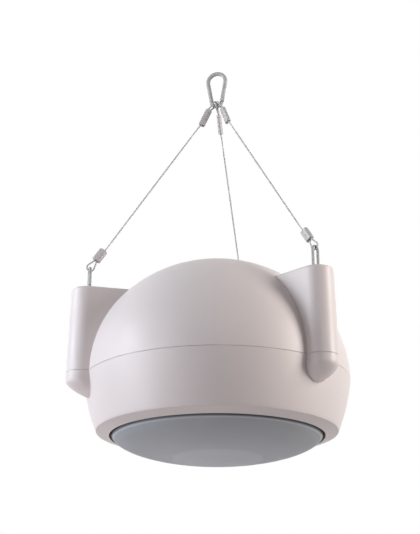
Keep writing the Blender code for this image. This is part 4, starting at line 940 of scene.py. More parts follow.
@dataclass(frozen=True)
class Eyebolt:
    """An eyebolt standing on a lobe, with its collar and shank."""

    radius_from_axis: float = 0.180
    seat: float = 0.1168
    wire: float = 0.0020
    span: float = 0.0099
    top: float = 0.0341
    collar_radius: float = 0.0068
    collar_height: float = 0.0020
    shank_radius: float = 0.0030
    shank_length: float = 0.0150
    thread_pitch: float = 0.0010
    thread_depth: float = 0.0005
    flatness: float = 0.8
    neck_drop: float = 0.0012
    neck_foot: Flat = (0.0006, 0.0007)
    neck_spread: float = 0.0018
    collar_edge: Flat = (0.0006, 0.0005)
    collar_foot: Flat = (0.0004, 0.0003)

    def eye_path(self) -> list[Vector]:
        """Lay out the centreline of the eye.

        Returns:
            Its points, in the eye's own plane.
        """
        half = self.span / 2
        high = self.top - self.wire - half
        low = self.collar_height + self.wire + half * self.flatness
        path: list[Flat] = []
        for start, end, side, bend in ((high, low, 0.0, half), (low, high, math.pi, self.flatness * half)):
            for angle in spread(side, side + math.pi, 18):
                path.append((half * math.cos(angle), start + bend * math.sin(angle)))
            path += [(half * math.cos(side + math.pi), height) for height in spread(start, end, 6)[1:-1]]
        return [Vector((x, 0.0, z)) for x, z in path]

    def build(self, number: int, azimuth: float) -> None:
        """Make and dress one eyebolt.

        Args:
            number: Number of the leg, from 1.
            azimuth: Turn of the lobe from +Y, in radians.
        """
        eye = skin("eye", tube_rings(self.eye_path(), self.wire, 16, closed=True))
        neck = self.collar_height + 2 * self.wire
        shank, collar, rise = self.shank_radius, self.collar_radius, self.collar_height
        profile = [(0.0, neck), (0.7 * shank, neck), (0.95 * shank, neck - self.neck_drop),
                   (shank + self.neck_foot[0], rise + self.neck_foot[1]), (shank + self.neck_spread, rise),
                   (collar - self.collar_edge[0], rise), (collar, rise - self.collar_edge[1]),
                   (collar, 2 * self.collar_foot[1]), (collar - self.collar_foot[0], self.collar_foot[1]),
                   (shank, self.collar_foot[1])]
        for turn in range(int(self.shank_length / self.thread_pitch)):
            level = -turn * self.thread_pitch
            profile += [(shank, level), (shank - self.thread_depth, level - self.thread_pitch / 2)]
        profile += [(0.0, -self.shank_length)]
        name = f"eyebolt_body_{number}"
        mesh = merged(name, [eye, turned("shank", profile, 28, ring=False)])
        place = Matrix.Translation((0.0, self.radius_from_axis, self.seat + SEAM_LEVEL))
        mesh.transform(Matrix.Rotation(azimuth, 4, "Z") @ place)
        dress(name, mesh, Palette.ZINC, [f"eyebolt_{number}"], sharp=45.0)


@dataclass(frozen=True)
class Leg:
    """A wire-rope leg: the rope, its lower and its upper sleeve."""

    rope_radius: float = 0.00125
    strand_offset: float = 0.00145
    eye_radius: float = 0.180
    eye_seat: float = 0.1469
    eye_wire: float = 0.0020
    leg_rise: float = 0.2813
    lower_sleeve: Point = (0.0190, 0.0062, 0.0040)
    upper_sleeve: Point = (0.0290, 0.0049, 0.0032)
    lower_loop_radius: float = 0.0051
    lower_neck: float = 0.0142
    upper_neck_radius: float = 0.0120
    upper_neck_drop: float = 0.0116
    upper_lean: float = 23.2
    tail: float = 0.0015
    straight: float = 0.0020
    hook_wire: float = 0.0030
    lay_length: float = 0.0095
    strands: int = 6
    lower_wrap: tuple[float, float] = (-25.0, 205.0)
    upper_wrap: float = 100.0
    crossing_ease: float = 0.0005
    spacing: float = 0.0010
    strand_share: float = 0.42
    core_share: float = 0.62
    crimp: float = 0.10
    crimps: int = 3
    waist: float = 0.16
    mouth_flare: float = 0.0007
    mouth_edge: float = 0.0009
    mouth_soft: float = 0.0003
    barrel_start: float = 0.0016

    def hook_seat(self) -> float:
        """Height over the seam where the ropes rest in the hook."""
        return self.eye_seat + self.leg_rise

    def upper_axis(self) -> Vector:
        """Direction of the upper sleeve, upward."""
        lean = math.radians(self.upper_lean)
        return Vector((0.0, -math.sin(lean), math.cos(lean)))

    def upper_neck(self) -> Vector:
        """Top end of the upper sleeve."""
        return Vector((0.0, self.upper_neck_radius, self.hook_seat() - self.upper_neck_drop))

    def upper_foot(self) -> Vector:
        """Low end of the upper sleeve."""
        return self.upper_neck() - self.upper_axis() * self.upper_sleeve[0]

    def eye_centre(self) -> Vector:
        """Centre of the eye's wire where the rope rests on it."""
        return Vector((0.0, self.eye_radius, self.eye_seat + self.eye_wire))

    def lower_axis(self) -> Vector:
        """Direction of the leg, upward."""
        return (self.upper_foot() - self.eye_centre()).normalized()

    def lower_foot(self) -> Vector:
        """Low end of the lower sleeve."""
        return self.eye_centre() + self.lower_axis() * self.lower_neck

    def lower_head(self) -> Vector:
        """Top end of the lower sleeve."""
        return self.lower_foot() + self.lower_axis() * self.lower_sleeve[0]

    @staticmethod
    def beside(axis: Vector) -> Vector:
        """Direction across an axis in the leg's plane, outward."""
        return Vector((0.0, axis.z, -axis.y))

    def lower_loop(self) -> list[Vector]:
        """Lay the rope from its lower end, through the eye and back through the sleeve.

        Returns:
            The rope's points, for the leg that points along +Y.
        """
        axis, foot, head = self.lower_axis(), self.lower_foot(), self.lower_head()
        side = self.beside(axis)
        apart = side * self.strand_offset
        play = self.lower_loop_radius - self.rope_radius - self.eye_wire - TOUCH_GAP
        centre = self.eye_centre() + axis * play
        points = [head + axis * self.tail + apart, foot + axis * self.straight + apart, foot + apart]
        for degrees in spread(*self.lower_wrap, 10):
            angle = math.radians(degrees)
            out = side * math.cos(angle) - axis * math.sin(angle)
            points.append(centre + out * self.lower_loop_radius)
        return points + [foot - apart, foot + axis * self.straight - apart, head - apart]

    @staticmethod
    def crosses_flat(azimuth: float) -> bool:
        """Whether a leg lies in the plane that runs square through the hook."""
        return abs(math.sin(azimuth)) < 0.1

    def hook_crossing(self, azimuth: float) -> Vector:
        """Find where the rope crosses the hook's plane, over the hook's seat.

        Args:
            azimuth: Direction of the leg, in radians.

        Returns:
            The place of the rope's centre.
        """
        low = self.hook_seat() + TOUCH_GAP + self.rope_radius
        if self.crosses_flat(azimuth):
            return Vector((0.0, 0.0, low))
        pitch = 2 * self.rope_radius + TOUCH_GAP
        slack = 0.00005
        aside = pitch / 2 + slack
        up = math.sqrt(pitch ** 2 - aside ** 2)
        return Vector((-math.copysign(aside, math.sin(azimuth)), 0.0, low + up))

    def upper_loop(self, azimuth: float) -> list[Vector]:
        """Lay the rope from the upper sleeve over the hook's narrow end and back.

        Args:
            azimuth: Direction of the leg, in radians.

        Returns:
            The rope's points.
        """
        turn = Matrix.Rotation(azimuth, 3, "Z")
        neck = turn @ self.upper_neck()
        side = turn @ self.beside(self.upper_axis())
        top = self.hook_crossing(azimuth)
        radius = self.hook_wire + self.rope_radius + TOUCH_GAP
        down = Vector((neck.x - top.x, 0.0, neck.z - top.z)).normalized()
        across = Vector((0.0, 1.0, 0.0))
        if not self.crosses_flat(azimuth):
            radius += self.crossing_ease
        centre = top + down * radius
        towards = neck - centre
        lean = math.atan2(towards.dot(across), towards.dot(down))
        outer = neck + side * self.strand_offset
        inner = neck - side * self.strand_offset
        sign = 1.0 if outer.dot(across) > inner.dot(across) else -1.0
        points = []
        for degrees in spread(-self.upper_wrap, self.upper_wrap, 9):
            a = math.pi - math.radians(degrees) * sign + lean
            points.append(centre + (down * math.cos(a) + across * math.sin(a)) * radius)
        if (points[0] - outer).length > (points[-1] - outer).length:
            points.reverse()
        back = turn @ self.upper_axis() * -self.straight
        return [outer + back, outer] + points + [inner, inner + back]

    def route(self, azimuth: float) -> list[Vector]:
        """Gather all the points that the rope of one leg follows.

        Args:
            azimuth: Direction of the leg, in radians.

        Returns:
            The rope's points, from its lower to its upper end.
        """
        turn = Matrix.Rotation(azimuth, 3, "Z")
        side = self.beside(self.upper_axis())
        foot = self.upper_foot()
        points = [turn @ point for point in self.lower_loop()]
        points.append(turn @ (foot + side * self.strand_offset))
        points += self.upper_loop(azimuth)
        points.append(turn @ (foot - side * self.strand_offset - self.upper_axis() * self.tail))
        return points

    def path(self, azimuth: float) -> list[Vector]:
        """Smooth path of the rope, with its straight stretches kept straight.

        Args:
            azimuth: Turn of the leg from +Y, in radians.

        Returns:
            The points in the frame.
        """
        points = self.route(azimuth)
        eased: list[Vector] = []
        for i, point in enumerate(points):
            if 0 < i < len(points) - 1:
                before = (point - points[i - 1]).length
                after = (points[i + 1] - point).length
                if before > 4 * after:
                    eased.append(point + (points[i - 1] - point).normalized() * after)
                eased.append(point)
                if after > 4 * before:
                    eased.append(point + (points[i + 1] - point).normalized() * before)
            else:
                eased.append(point)
        given = [eased[0] * 2 - eased[1]] + eased + [eased[-1] * 2 - eased[-2]]
        path = [given[1]]
        for a, b, c, d in zip(given, given[1:], given[2:], given[3:]):
            count = max(1, round((c - b).length / self.spacing))
            for k in range(1, count + 1):
                t = k / count
                path.append((b * 2 + (c - a) * t + (a * 2 - b * 5 + c * 4 - d) * t ** 2
                             + (b * 3 - a - c * 3 + d) * t ** 3) * 0.5)
        lift = Vector((0.0, 0.0, SEAM_LEVEL))
        return [point + lift for point in path]

    def rope(self, azimuth: float) -> bpy.types.Mesh:
        """Mesh of one leg's twisted rope.

        Args:
            azimuth: Turn of the leg from +Y, in radians.

        Returns:
            The strands round their core.
        """
        path = self.path(azimuth)
        pairs = frames_along(path)
        run = [0.0]
        for before, point in zip(path, path[1:]):
            run.append(run[-1] + (point - before).length)
        wire = self.rope_radius * self.strand_share
        offset = self.rope_radius - wire
        core = tube_rings(path[::3] + [path[-1]], self.rope_radius * self.core_share, 8)
        meshes = [skin("core", core, Way.CAPPED)]
        for strand in range(self.strands):
            centre = []
            for point, (across, beside), length in zip(path, pairs, run):
                angle = 2 * math.pi * (strand / self.strands + length / self.lay_length)
                centre.append(point + (across * math.cos(angle) + beside * math.sin(angle)) * offset)
            meshes.append(skin("strand", tube_rings(centre, wire, 6), Way.CAPPED))
        return merged("rope", meshes)

    @staticmethod
    def oval(wide: float, thick: float, waist: float, count: int = 12) -> list[Flat]:
        """Outline of a sleeve: two barrels side by side with a waist between them.

        Args:
            wide: Half of the sleeve's width.
            thick: Half of its thickness.
            waist: Depth of the waist, as a part of the thickness.
            count: Points on each round end.

        Returns:
            The outline's points.
        """
        flat = wide - thick
        outline = []
        for side, first in ((1, -90.0), (-1, 90.0)):
            for degrees in spread(first, first + 180.0, count):
                x, y = polar(thick, math.radians(degrees))
                outline.append((side * flat + x, y))
            outline += [(x, side * thick) for x in spread(side * flat, -side * flat, 9)[1:-1]]
        reach = max(0.3 * wide, 1e-6)
        return [(x, y * (1 - waist * math.exp(-(x / reach) ** 2))) for x, y in outline]

    def sleeve(self, size: Point, foot: Vector, axis: Vector, azimuth: float) -> bpy.types.Mesh:
        """Mesh of a crimped sleeve on a leg.

        Args:
            size: Length, half width and half thickness.
            foot: Its low end on the +Y leg.
            axis: Its direction on that leg.
            azimuth: Turn of the leg from +Y, in radians.

        Returns:
            The sleeve's mesh.
        """
        length, wide, thick = size
        edge, soft = self.mouth_edge, self.mouth_soft
        stations = [(0.0, -edge), (soft, -soft), (edge, 0.0)]
        stations += [(height, 0.0) for height in spread(self.barrel_start, length - self.barrel_start, 23)]
        stations += [(length - height, grow) for height, grow in reversed(stations[:3])]
        rings = []
        for height, grow in stations:
            press = math.sin(math.pi * height / length) ** 2
            dents = 0.5 + 0.5 * math.cos(2 * math.pi * height / length * self.crimps)
            squeeze = 1 - self.crimp * press * (1 - dents)
            outline = self.oval(wide + grow, (thick + grow) * squeeze, self.waist)
            rings.append([(x, y, height) for x, y in outline])
        bore = self.rope_radius + TOUCH_GAP
        for height, flare in ((length, self.mouth_flare), (length - edge, 0.0), (edge, 0.0),
                              (0.0, self.mouth_flare)):
            outline = self.oval(self.strand_offset + bore + flare, bore + flare, 0.0)
            rings.append([(x, y, height) for x, y in outline])
        mesh = skin("sleeve", rings)
        turn = Matrix.Rotation(azimuth, 3, "Z")
        side = turn @ self.beside(axis)
        along = turn @ axis
        basis = Matrix((side, along.cross(side), along)).transposed().to_4x4()
        origin = turn @ foot + Vector((0.0, 0.0, SEAM_LEVEL))
        mesh.transform(Matrix.Translation(origin) @ basis)
        return mesh

    def build(self, number: int, azimuth: float) -> None:
        """Make and dress one leg.

        Args:
            number: Number of the leg, from 1.
            azimuth: Turn of the leg from +Y, in radians.
        """
        dress(f"wire_rope_{number}", self.rope(azimuth), Palette.ROPE,
              [f"rope_leg_{number}"], sharp=60.0)
        for end, size, foot, axis in (
                ("lower", self.lower_sleeve, self.lower_foot(), self.lower_axis()),
                ("upper", self.upper_sleeve, self.upper_foot(), self.upper_axis())):
            dress(f"{end}_crimp_{number}", self.sleeve(size, foot, axis, azimuth),
                  Palette.SLEEVE, [f"{end}_sleeve_{number}"], sharp=40.0)


@dataclass(frozen=True)
class SnapHook:
    """The pear-shaped snap hook, its gate and the rivet that the gate turns on."""

    wire: float = 0.0030
    small_bend: float = 0.0078
    large_bend: float = 0.0134
    spacing: float = 0.0338
    pivot_up: float = 0.0035
    gate_length: float = 0.0235
    fork_below: float = 0.0030
    blade_half: float = 0.0012
    slot_half: float = 0.0016
    rivet_radius: float = 0.0011
    rivet_head: float = 0.0020
    rivet_rise: float = 0.0009
    foot_below: float = 0.0046
    end_round: float = 0.0004
    gate_round: float = 0.0002
    tang: Point = (0.0030, 0.0026, 0.0021)
    nib: Point = (0.0034, 0.0030, 0.0019)
    slot_half_in: float = 0.006
    slot_past: float = 0.003
    slot_depths: Flat = (0.0040, 0.0042)
    gap: float = 0.0006

    def large_centre(self) -> float:
        """Height of the wide end's bend, in the frame."""
        return self.wire - self.large_bend

    def small_centre(self) -> float:
        """Height of the narrow end's bend, in the frame."""
        return self.large_centre() - self.spacing

    def flare(self) -> float:
        """Lean of the straight sides, in radians."""
        return math.asin((self.large_bend - self.small_bend) / self.spacing)

    def along(self) -> Vector:
        """Direction up the gated side."""
        return Vector((math.sin(self.flare()), 0.0, math.cos(self.flare())))

    def out(self) -> Vector:
        """Direction out from the gated side."""
        return Vector((math.cos(self.flare()), 0.0, -math.sin(self.flare())))

    def side_point(self, distance: float) -> Vector:
        """Point of the gated side's centreline at a distance up it."""
        start = Vector((0.0, 0.0, self.small_centre())) + self.out() * self.small_bend
        return start + self.along() * distance

    def plate(
        self, low: float, high: float, half_in: float, half_y: float, bevel: float = 0.0003,
    ) -> bpy.types.Mesh:
        """Flat plate on the gated side.

        Args:
            low: Distance up the side at which it starts.
            high: Distance at which it ends.
            half_in: Half its width in the hook's plane.
            half_y: Half its thickness.
            bevel: Width of its softened edges.

        Returns:
            The plate's mesh.
        """
        mesh = block((2 * half_in, 2 * half_y, high - low), (0.0, 0.0, 0.0), bevel)
        middle = self.side_point((low + high) / 2)
        mesh.transform(Matrix.Translation(middle) @ Matrix.Rotation(self.flare(), 4, "Y"))
        return mesh

    def bow(self) -> bpy.types.Mesh:
        """Build the hook's bent wire with its flat ends.

        Returns:
            The mesh.
        """
        flare = self.flare()
        gate_end = self.pivot_up + self.gate_length
        foot = self.pivot_up - self.foot_below
        small = (foot / self.small_bend - flare, flare - math.pi, self.small_centre(), self.small_bend, 30)
        large = (math.pi + flare, -flare, self.large_centre(), self.large_bend, 40)
        points = []
        for first, last, centre, radius, count in (small, large):
            for angle in spread(first, last, count):
                x, z = polar(radius, angle)
                points.append(Vector((x, 0.0, centre + z)))
        distances = spread(self.spacing * math.cos(flare), gate_end + self.gap, 5)
        points += [self.side_point(distance) for distance in distances[1:]]
        wire = skin("bow", tube_rings(points, self.wire, 20, ends=self.end_round), Way.CAPPED)
        plates = [self.plate(low - below, high + above, half_in, self.blade_half)
                  for low, high, (below, above, half_in) in (
                      (foot, self.pivot_up, self.tang), (gate_end, gate_end, self.nib))]
        return merged("hook_bow", [wire, *plates])

    def gate(self) -> bpy.types.Mesh:
        """Build the gate, slotted at both ends.

        Returns:
            The mesh.
        """
        low = self.pivot_up - self.fork_below
        high = self.pivot_up + self.gate_length
        path = [self.side_point(distance) for distance in spread(low, high, 24)]
        wire = skin("gate", tube_rings(path, self.wire, 20, ends=self.gate_round), Way.CAPPED)
        rod = smooth_object("gate_rod", wire)
        spare = [rod]
        for start, end in ((low - self.slot_past, self.pivot_up + self.slot_depths[0]),
                           (high - self.slot_depths[1], high + self.slot_past)):
            slot = self.plate(start, end, self.slot_half_in, self.slot_half, 0.0001)
            spare.append(smooth_object("slot_cutter", slot))
            modifier = rod.modifiers.new("slot", "BOOLEAN")
            modifier.operation = "DIFFERENCE"
            modifier.object = spare[-1]
            modifier.solver = "EXACT"
        bpy.context.view_layer.update()
        graph = bpy.context.evaluated_depsgraph_get()
        made = bpy.data.meshes.new_from_object(rod.evaluated_get(graph))
        for piece in spare:
            bpy.data.objects.remove(piece, do_unlink=True)
        return made

    def rivet(self) -> bpy.types.Mesh:
        """Build the rivet, with two domed heads.

        Returns:
            The mesh.
        """
        half, rise = self.wire + TOUCH_GAP, self.rivet_rise
        dome = [(self.rivet_head * math.sin(a), half + rise * math.cos(a)) for a in spread(0.3, 1.57, 6)]
        upper = [(0.0, half + rise)] + dome + [(self.rivet_head, half), (self.rivet_radius, half)]
        profile = upper + [(radius, -height) for radius, height in reversed(upper)]
        mesh = turned("rivet", profile, 24, ring=False)
        place = Matrix.Translation(self.side_point(self.pivot_up))
        mesh.transform(place @ Matrix.Rotation(math.pi / 2, 4, "X"))
        return mesh

    def build(self) -> None:
        """Make and dress the hook, its gate and the rivet."""
        dress("hook_bow", self.bow(), Palette.HOOK, ["snap_hook"], sharp=45.0)
        dress("gate_rod_slotted", self.gate(), Palette.HOOK, ["hook_gate"], Body.GATE, sharp=45.0)
        dress("gate_pin", self.rivet(), Palette.HOOK, ["gate_rivet"], sharp=40.0)


# Terminal cup


@dataclass(frozen=True)
class TerminalCup:
    """The cup on top with its terminal block and power-tap knob."""

    bore: float = 0.0380
    flange: float = 0.0458
    sheet: float = 0.0025
    depth: float = 0.0210
    top: float = 0.15815
    slip: float = 0.0004
    block_size: Point = (0.030, 0.012, 0.013)
    block_offset: float = -0.014
    knob_offset: float = 0.017
    knob_radius: float = 0.0085
    knob_height: float = 0.0080
    knob_steps: int = 72
    grip_depth: float = 0.035
    shaft_radius: float = 0.0030
    shaft_length: float = 0.0088
    poles: int = 4
    pole_parts: tuple[tuple[Point, Point, float], ...] = (
        ((0.92, 1.00, 0.72), (0.00, 0.00, 0.36), 0.0005),
        ((0.92, 0.18, 0.28), (0.00, -0.41, 0.86), 0.0004),
        ((0.14, 0.80, 0.28), (-0.39, 0.00, 0.86), 0.0002),
    )
    rail: tuple[Point, Point, float] = ((3.92, 0.70, 0.30), (0.0, 0.0, 0.16), 0.0004)
    knob_rings: tuple[Flat, ...] = (
        (0.42, 0.0), (0.99, 0.0), (1.0, 0.0006), (1.0, 0.0060), (0.95, 0.0076), (0.88, 0.0080),
        (0.50, 0.0078))

    def floor(self) -> float:
        """Height of the cup's floor over the seam."""
        return self.top + self.sheet - self.depth

    def shell(self) -> bpy.types.Mesh:
        """Build the cup, with softened edges.

        Returns:
            The mesh.
        """
        outer = self.bore - self.slip
        inner = outer - self.sheet
        floor, under = self.floor(), self.floor() - self.sheet
        high = self.top + self.sheet
        profile = [(0.0, floor), (inner - 0.003, floor), (inner - 0.0012, floor + 0.0006),
                   (inner, floor + 0.0025), (inner, high - 0.0012), (inner + 0.0005, high - 0.0003),
                   (inner + 0.0013, high), (self.flange - 0.0008, high), (self.flange, high - 0.0008),
                   (self.flange, self.top), (outer, self.top), (outer, under + 0.001),
                   (outer - 0.001, under), (0.0, under)]
        return turned("cup", over_seam(profile), 96, ring=False)

    def screw(self, radius: float, x: float, y: float, level: float) -> bpy.types.Mesh:
        """Small cheese-head screw with a raised bar across it.

        Args:
            radius: Radius of the head.
            x: Place of its axis along X.
            y: Place of its axis along Y.
            level: Height of the head's top in the frame.

        Returns:
            The screw's mesh.
        """
        profile = [(0.0, level), (radius * 0.85, level), (radius, level - 0.0005),
                   (radius, level - 0.003), (0.0, level - 0.003)]
        bar = block((radius * 1.5, 0.0006, 0.0004), (0.0, 0.0, level + 0.0001), 0.0001)
        made = merged("screw", [turned("head", profile, 20, ring=False), bar])
        made.transform(Matrix.Translation((x, y, 0.0)))
        return made

    def build_block(self, base: float) -> None:
        """Make and dress the terminal block and its screws.

        Args:
            base: Level of the cup's floor.
        """
        length, deep, high = self.block_size
        middle = self.block_offset
        pitch = length / self.poles
        centres = [(pole - (self.poles - 1) / 2) * pitch for pole in range(self.poles)]
        parts = [(x, *part) for x in centres for part in self.pole_parts] + [(0.0, *self.rail)]
        bodies = [block((pitch * wide, deep * across, high * tall),
                        (x + pitch * aside, middle + deep * behind, base + high * up), bevel)
                  for x, (wide, across, tall), (aside, behind, up), bevel in parts]
        screws = [self.screw(pitch * 0.27, x, middle - 0.1 * deep, base + high * 0.82) for x in centres]
        dress("block_body", merged("block_body", bodies), Palette.LAMINATE, ["terminal_block"])
        dress("block_screws", merged("block_screws", screws), Palette.SCREW)

    def build_knob(self, base: float) -> None:
        """Make and dress the knob with its grips and pointer.

        Args:
            base: Level of the cup's floor.
        """
        rings = []
        for part, height in self.knob_rings:
            ring = []
            for step in range(self.knob_steps):
                hollow = part > 0.9 and (step // 3) % 2
                radius = self.knob_radius * part * (1 - self.grip_depth if hollow else 1.0)
                x, y = polar(radius, 2 * math.pi * step / self.knob_steps)
                ring.append((x, self.knob_offset + y, base + height))
            rings.append(ring)
        foot = base - self.shaft_length
        profile = [(0.0, base + 0.001), (self.shaft_radius, base + 0.001), (self.shaft_radius, foot),
                   (0.0, foot)]
        shaft = turned("shaft", profile, 24, ring=False)
        shaft.transform(Matrix.Translation((0.0, self.knob_offset, 0.0)))
        knob = merged("tap_knob", [skin("knob", rings, Way.CAPPED), shaft])
        dress("tap_knob", knob, Palette.BLACK, ["selector_knob"], Body.KNOB, sharp=30.0)
        middle = (0.0, self.knob_offset + self.knob_radius * 0.45, base + self.knob_height)
        pointer = block((0.0012, self.knob_radius * 0.8, 0.0004), middle, 0.0001)
        dress("tap_pointer", pointer, Palette.SHELL, body=Body.KNOB)

    def build(self) -> None:
        """Make and dress the cup, the block, its screws and the knob."""
        dress("cup_shell", self.shell(), Palette.BLACK, ["terminal_cup"], sharp=40.0)
        base = self.floor() + TOUCH_GAP + SEAM_LEVEL
        self.build_block(base)
        self.build_knob(base)


# Hidden works


@dataclass(frozen=True)
class Spider:
    """The corrugated cloth ring that centres the voice coil and bends as the cone travels."""

    inner: float = 0.0213
    outer: float = 0.0554
    level: float = -0.0277
    seat: float = -0.0201
    wave: float = 0.0012
    sheet: float = 0.0008
    collar: float = 0.0030
    first_wave: float = 0.0020
    last_wave: float = 0.0040
    flange: float = 0.0035
    half_waves: int = 6

    def build(self) -> None:
        """Make and dress the ring."""
        parts = spread(0.0, 1.0, 4 * self.half_waves + 1)
        low = [(mixed(self.inner + self.first_wave, self.outer - self.last_wave, part),
                self.level + self.wave * math.cos(math.pi * self.half_waves * part)) for part in parts]
        neck = self.level + self.collar
        top = [(self.inner, neck), (self.inner + self.first_wave / 2, neck)]
        top += [(radius, height + self.sheet) for radius, height in low]
        top += [(self.outer - self.flange, self.seat), (self.outer, self.seat)]
        base = self.seat - self.sheet
        low = [(self.outer, base), (self.outer - 0.8 * self.flange, base)] + low[::-1]
        low += [(self.inner, self.level)]
        piece = smooth_object("spider_ring", turned("spider_ring", over_seam(top + low), 72))
        piece.data.materials.append(PALETTE.get(Palette.CLOTH))
        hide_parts("spider")
        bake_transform(piece)
        LOG.info("%s: %d faces between two bodies", piece.name, len(piece.data.polygons))


def numbered(name: str, count: int) -> tuple[str, ...]:
    """Names of nodes that are numbered from 1."""
    return tuple(f"{name}_{number}" for number in range(1, count + 1))


@dataclass(frozen=True)
class HiddenWorks:
    """Nodes that keep their solids and get better finishes."""

    finishes: tuple[tuple[Finish, tuple[str, ...]], ...] = (
        (Palette.BOARD, ("baffle",)),
        (Palette.BLACK_STEEL, (*numbered("baffle_screw", 4), *numbered("woofer_screw", 4),
                               "woofer_basket")),
        (Palette.BLACK, (*numbered("port_tube", 2), "tweeter_body", "crossover_capacitor")),
        (Palette.LAMINATE, ("crossover_board",)),
        (Palette.ZINC, ("top_plate", "back_plate", "tweeter_post", *numbered("shell_screw", 3),
                        *numbered("washer", 3), *numbered("nut", 3))),
        (Palette.PAPER, ("woofer_cone",)),
        (Palette.RUBBER, ("surround", "frame_gasket", "internal_lead")),
        (Palette.FERRITE, ("ring_magnet", "transformer_core")),
        (Palette.COPPER, ("voice_coil", "transformer_coil", "crossover_inductor")),
        (Palette.FELT, ("felt_lining",)),
        (Palette.TITANIUM, ("tweeter_dome",)),
    )

    def build(self) -> None:
        """Dress the nodes that stay."""
        for finish, names in self.finishes:
            for name in names:
                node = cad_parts[name]
                node.data.materials.clear()
                node.data.materials.append(PALETTE.get(finish))
                LOG.info("%s: kept, %s", name, finish.name)


# Studio


@dataclass(frozen=True)
class Lamp:
    """An area lamp placed round the speaker, as seen from the camera."""

    name: str
    azimuth: float
    elevation: float
    distance: float
    wide: float
    tall: float
    watts: float
    colour: Colour

    def build(self, camera_azimuth: float, target: Vector) -> None:
        """Make the lamp and aim it.

        Args:
            camera_azimuth: Direction of the camera from the speaker, in degrees.
            target: Point that the lamp faces.
        """
        data = bpy.data.lights.new(self.name, "AREA")
        data.shape = "RECTANGLE"
        data.size = self.wide
        data.size_y = self.tall
        data.energy = self.watts
        data.color = self.colour
        lamp = bpy.data.objects.new(self.name, data)
        bpy.context.scene.collection.objects.link(lamp)
        flat, high = polar(1.0, math.radians(self.elevation))
        offset = Vector((*polar(flat, math.radians(camera_azimuth + self.azimuth)), high))
        lamp.location = target + offset * self.distance
        lamp.rotation_euler = (-offset).to_track_quat("-Z", "Y").to_euler()


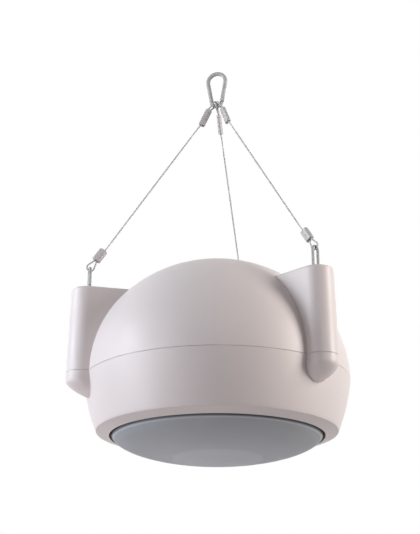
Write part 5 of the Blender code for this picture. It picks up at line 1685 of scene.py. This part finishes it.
@dataclass(frozen=True)
class Studio:
    """Camera, lamps, floor and background."""

    turn: float = 14.9064
    distance_out: float = 1.45873
    camera_level: float = -0.38158
    forward: Point = (-0.006317, 0.935699, 0.352745)
    right: Point = (0.999979, 0.006377, 0.000993)
    up: Point = (0.001320, -0.352744, 0.935720)
    focal_pixels: float = 1102.98
    long_side: float = 534.0
    sensor: float = 36.0
    far_clip: float = 50.0
    ambient: Colour = (0.105, 0.098, 0.098)
    floor_level: float = -2.7
    floor_half: float = 7.0
    target: Point = (0.0, 0.0, -0.40)
    lamps: tuple[Lamp, ...] = (
        Lamp("left_softbox", -70.0, -4.0, 1.6, 0.5, 1.2, 12.0, (0.924, 0.919, 1.0)),
        Lamp("left_high", -80.0, 20.0, 1.6, 0.6, 0.8, 9.5, (0.817, 0.950, 1.0)),
        Lamp("left_front", -45.0, 10.0, 1.8, 0.6, 0.8, 3.4, (0.970, 0.950, 1.0)),
        Lamp("right_softbox", 74.0, 14.0, 1.6, 0.5, 1.0, 20.5, (1.0, 0.945, 0.900)),
        Lamp("front_high", 20.0, 36.0, 2.0, 1.0, 0.6, 2.0, (1.0, 0.920, 0.900)),
        Lamp("low_fill", 0.0, -89.0, 1.8, 1.4, 1.4, 5.4, (1.0, 0.880, 0.840)),
    )

    def place_camera(self) -> None:
        """Put the camera where the photograph was taken from."""
        turn = Matrix.Rotation(math.radians(self.turn), 3, "Z")
        data = bpy.data.cameras.new("photo_camera")
        data.sensor_width = self.sensor
        data.sensor_fit = "AUTO"
        data.lens = self.focal_pixels * self.sensor / self.long_side
        data.clip_end = self.far_clip
        camera = bpy.data.objects.new("photo_camera", data)
        bpy.context.scene.collection.objects.link(camera)
        right, up, forward = (turn @ Vector(axis) for axis in (self.right, self.up, self.forward))
        axes = Matrix((right, up, -forward))
        spot = turn @ Vector((0.0, -self.distance_out, self.camera_level + SEAM_LEVEL))
        camera.matrix_world = Matrix.Translation(spot) @ axes.transposed().to_4x4()
        bpy.context.scene.camera = camera

    @staticmethod
    def seen(tree: bpy.types.NodeTree) -> bpy.types.NodeSocket:
        """Tell the rays that the camera sees by, directly, by a reflection or through glass.

        Args:
            tree: Node tree to add the nodes to.

        Returns:
            An output that is 1 for such a ray and 0 for others.
        """
        path = tree.nodes.new("ShaderNodeLightPath")
        found = path.outputs["Is Camera Ray"]
        for label in ("Is Glossy Ray", "Is Transmission Ray"):
            either = tree.nodes.new("ShaderNodeMath")
            either.operation = "MAXIMUM"
            tree.links.new(found, either.inputs[0])
            tree.links.new(path.outputs[label], either.inputs[1])
            found = either.outputs[0]
        return found

    def place_world(self) -> None:
        """Give an even ambient light and a white background."""
        world = bpy.data.worlds.new("studio_world")
        world.use_nodes = True
        nodes, links = world.node_tree.nodes, world.node_tree.links
        background = nodes["Background"]
        shade = nodes.new("ShaderNodeMix")
        shade.data_type = "RGBA"
        links.new(self.seen(world.node_tree), shade.inputs[0])
        shade.inputs[6].default_value = tint(self.ambient)
        shade.inputs[7].default_value = tint(WHITE)
        links.new(shade.outputs[2], background.inputs["Color"])
        background.inputs["Strength"].default_value = 1.0
        bpy.context.scene.world = world

    def place_floor(self) -> None:
        """Lay a pale floor far below the speaker, white to the camera like the background."""
        mesh = bpy.data.meshes.new("studio_floor")
        half = self.floor_half
        corners = [(x * half, y * half, self.floor_level) for x, y in ((-1, -1), (1, -1), (1, 1), (-1, 1))]
        mesh.from_pydata(corners, [], [(0, 1, 2, 3)])
        floor = smooth_object("studio_floor", mesh)
        pale = Finish("pale_floor", (0.86, 0.86, 0.86), 0.9, 0.0, 0.01, 2.0, 40.0, 0.0005, 0.02).make()
        tree = pale.node_tree
        white = tree.nodes.new("ShaderNodeEmission")
        choice = tree.nodes.new("ShaderNodeMixShader")
        tree.links.new(self.seen(tree), choice.inputs[0])
        tree.links.new(tree.nodes["Principled BSDF"].outputs[0], choice.inputs[1])
        tree.links.new(white.outputs[0], choice.inputs[2])
        tree.links.new(choice.outputs[0], tree.nodes["Material Output"].inputs[0])
        floor.data.materials.append(pale)

    def build(self) -> None:
        """Set up the whole studio."""
        self.place_camera()
        self.place_world()
        self.place_floor()
        for lamp in self.lamps:
            lamp.build(self.turn - 90.0, Vector(self.target))
        bpy.context.scene.view_settings.view_transform = "Standard"


def main() -> None:
    """Build the speaker's looks and the studio, in order."""
    logging.basicConfig(level=logging.INFO, format="%(name)s: %(message)s")
    Studio().build()
    Enclosure().build()
    Grille().build()
    for number, azimuth in enumerate(LEG_AZIMUTHS, start=1):
        Eyebolt().build(number, azimuth)
        Leg().build(number, azimuth)
    SnapHook().build()
    TerminalCup().build()
    Spider().build()
    HiddenWorks().build()


if __name__ == "__main__":
    main()
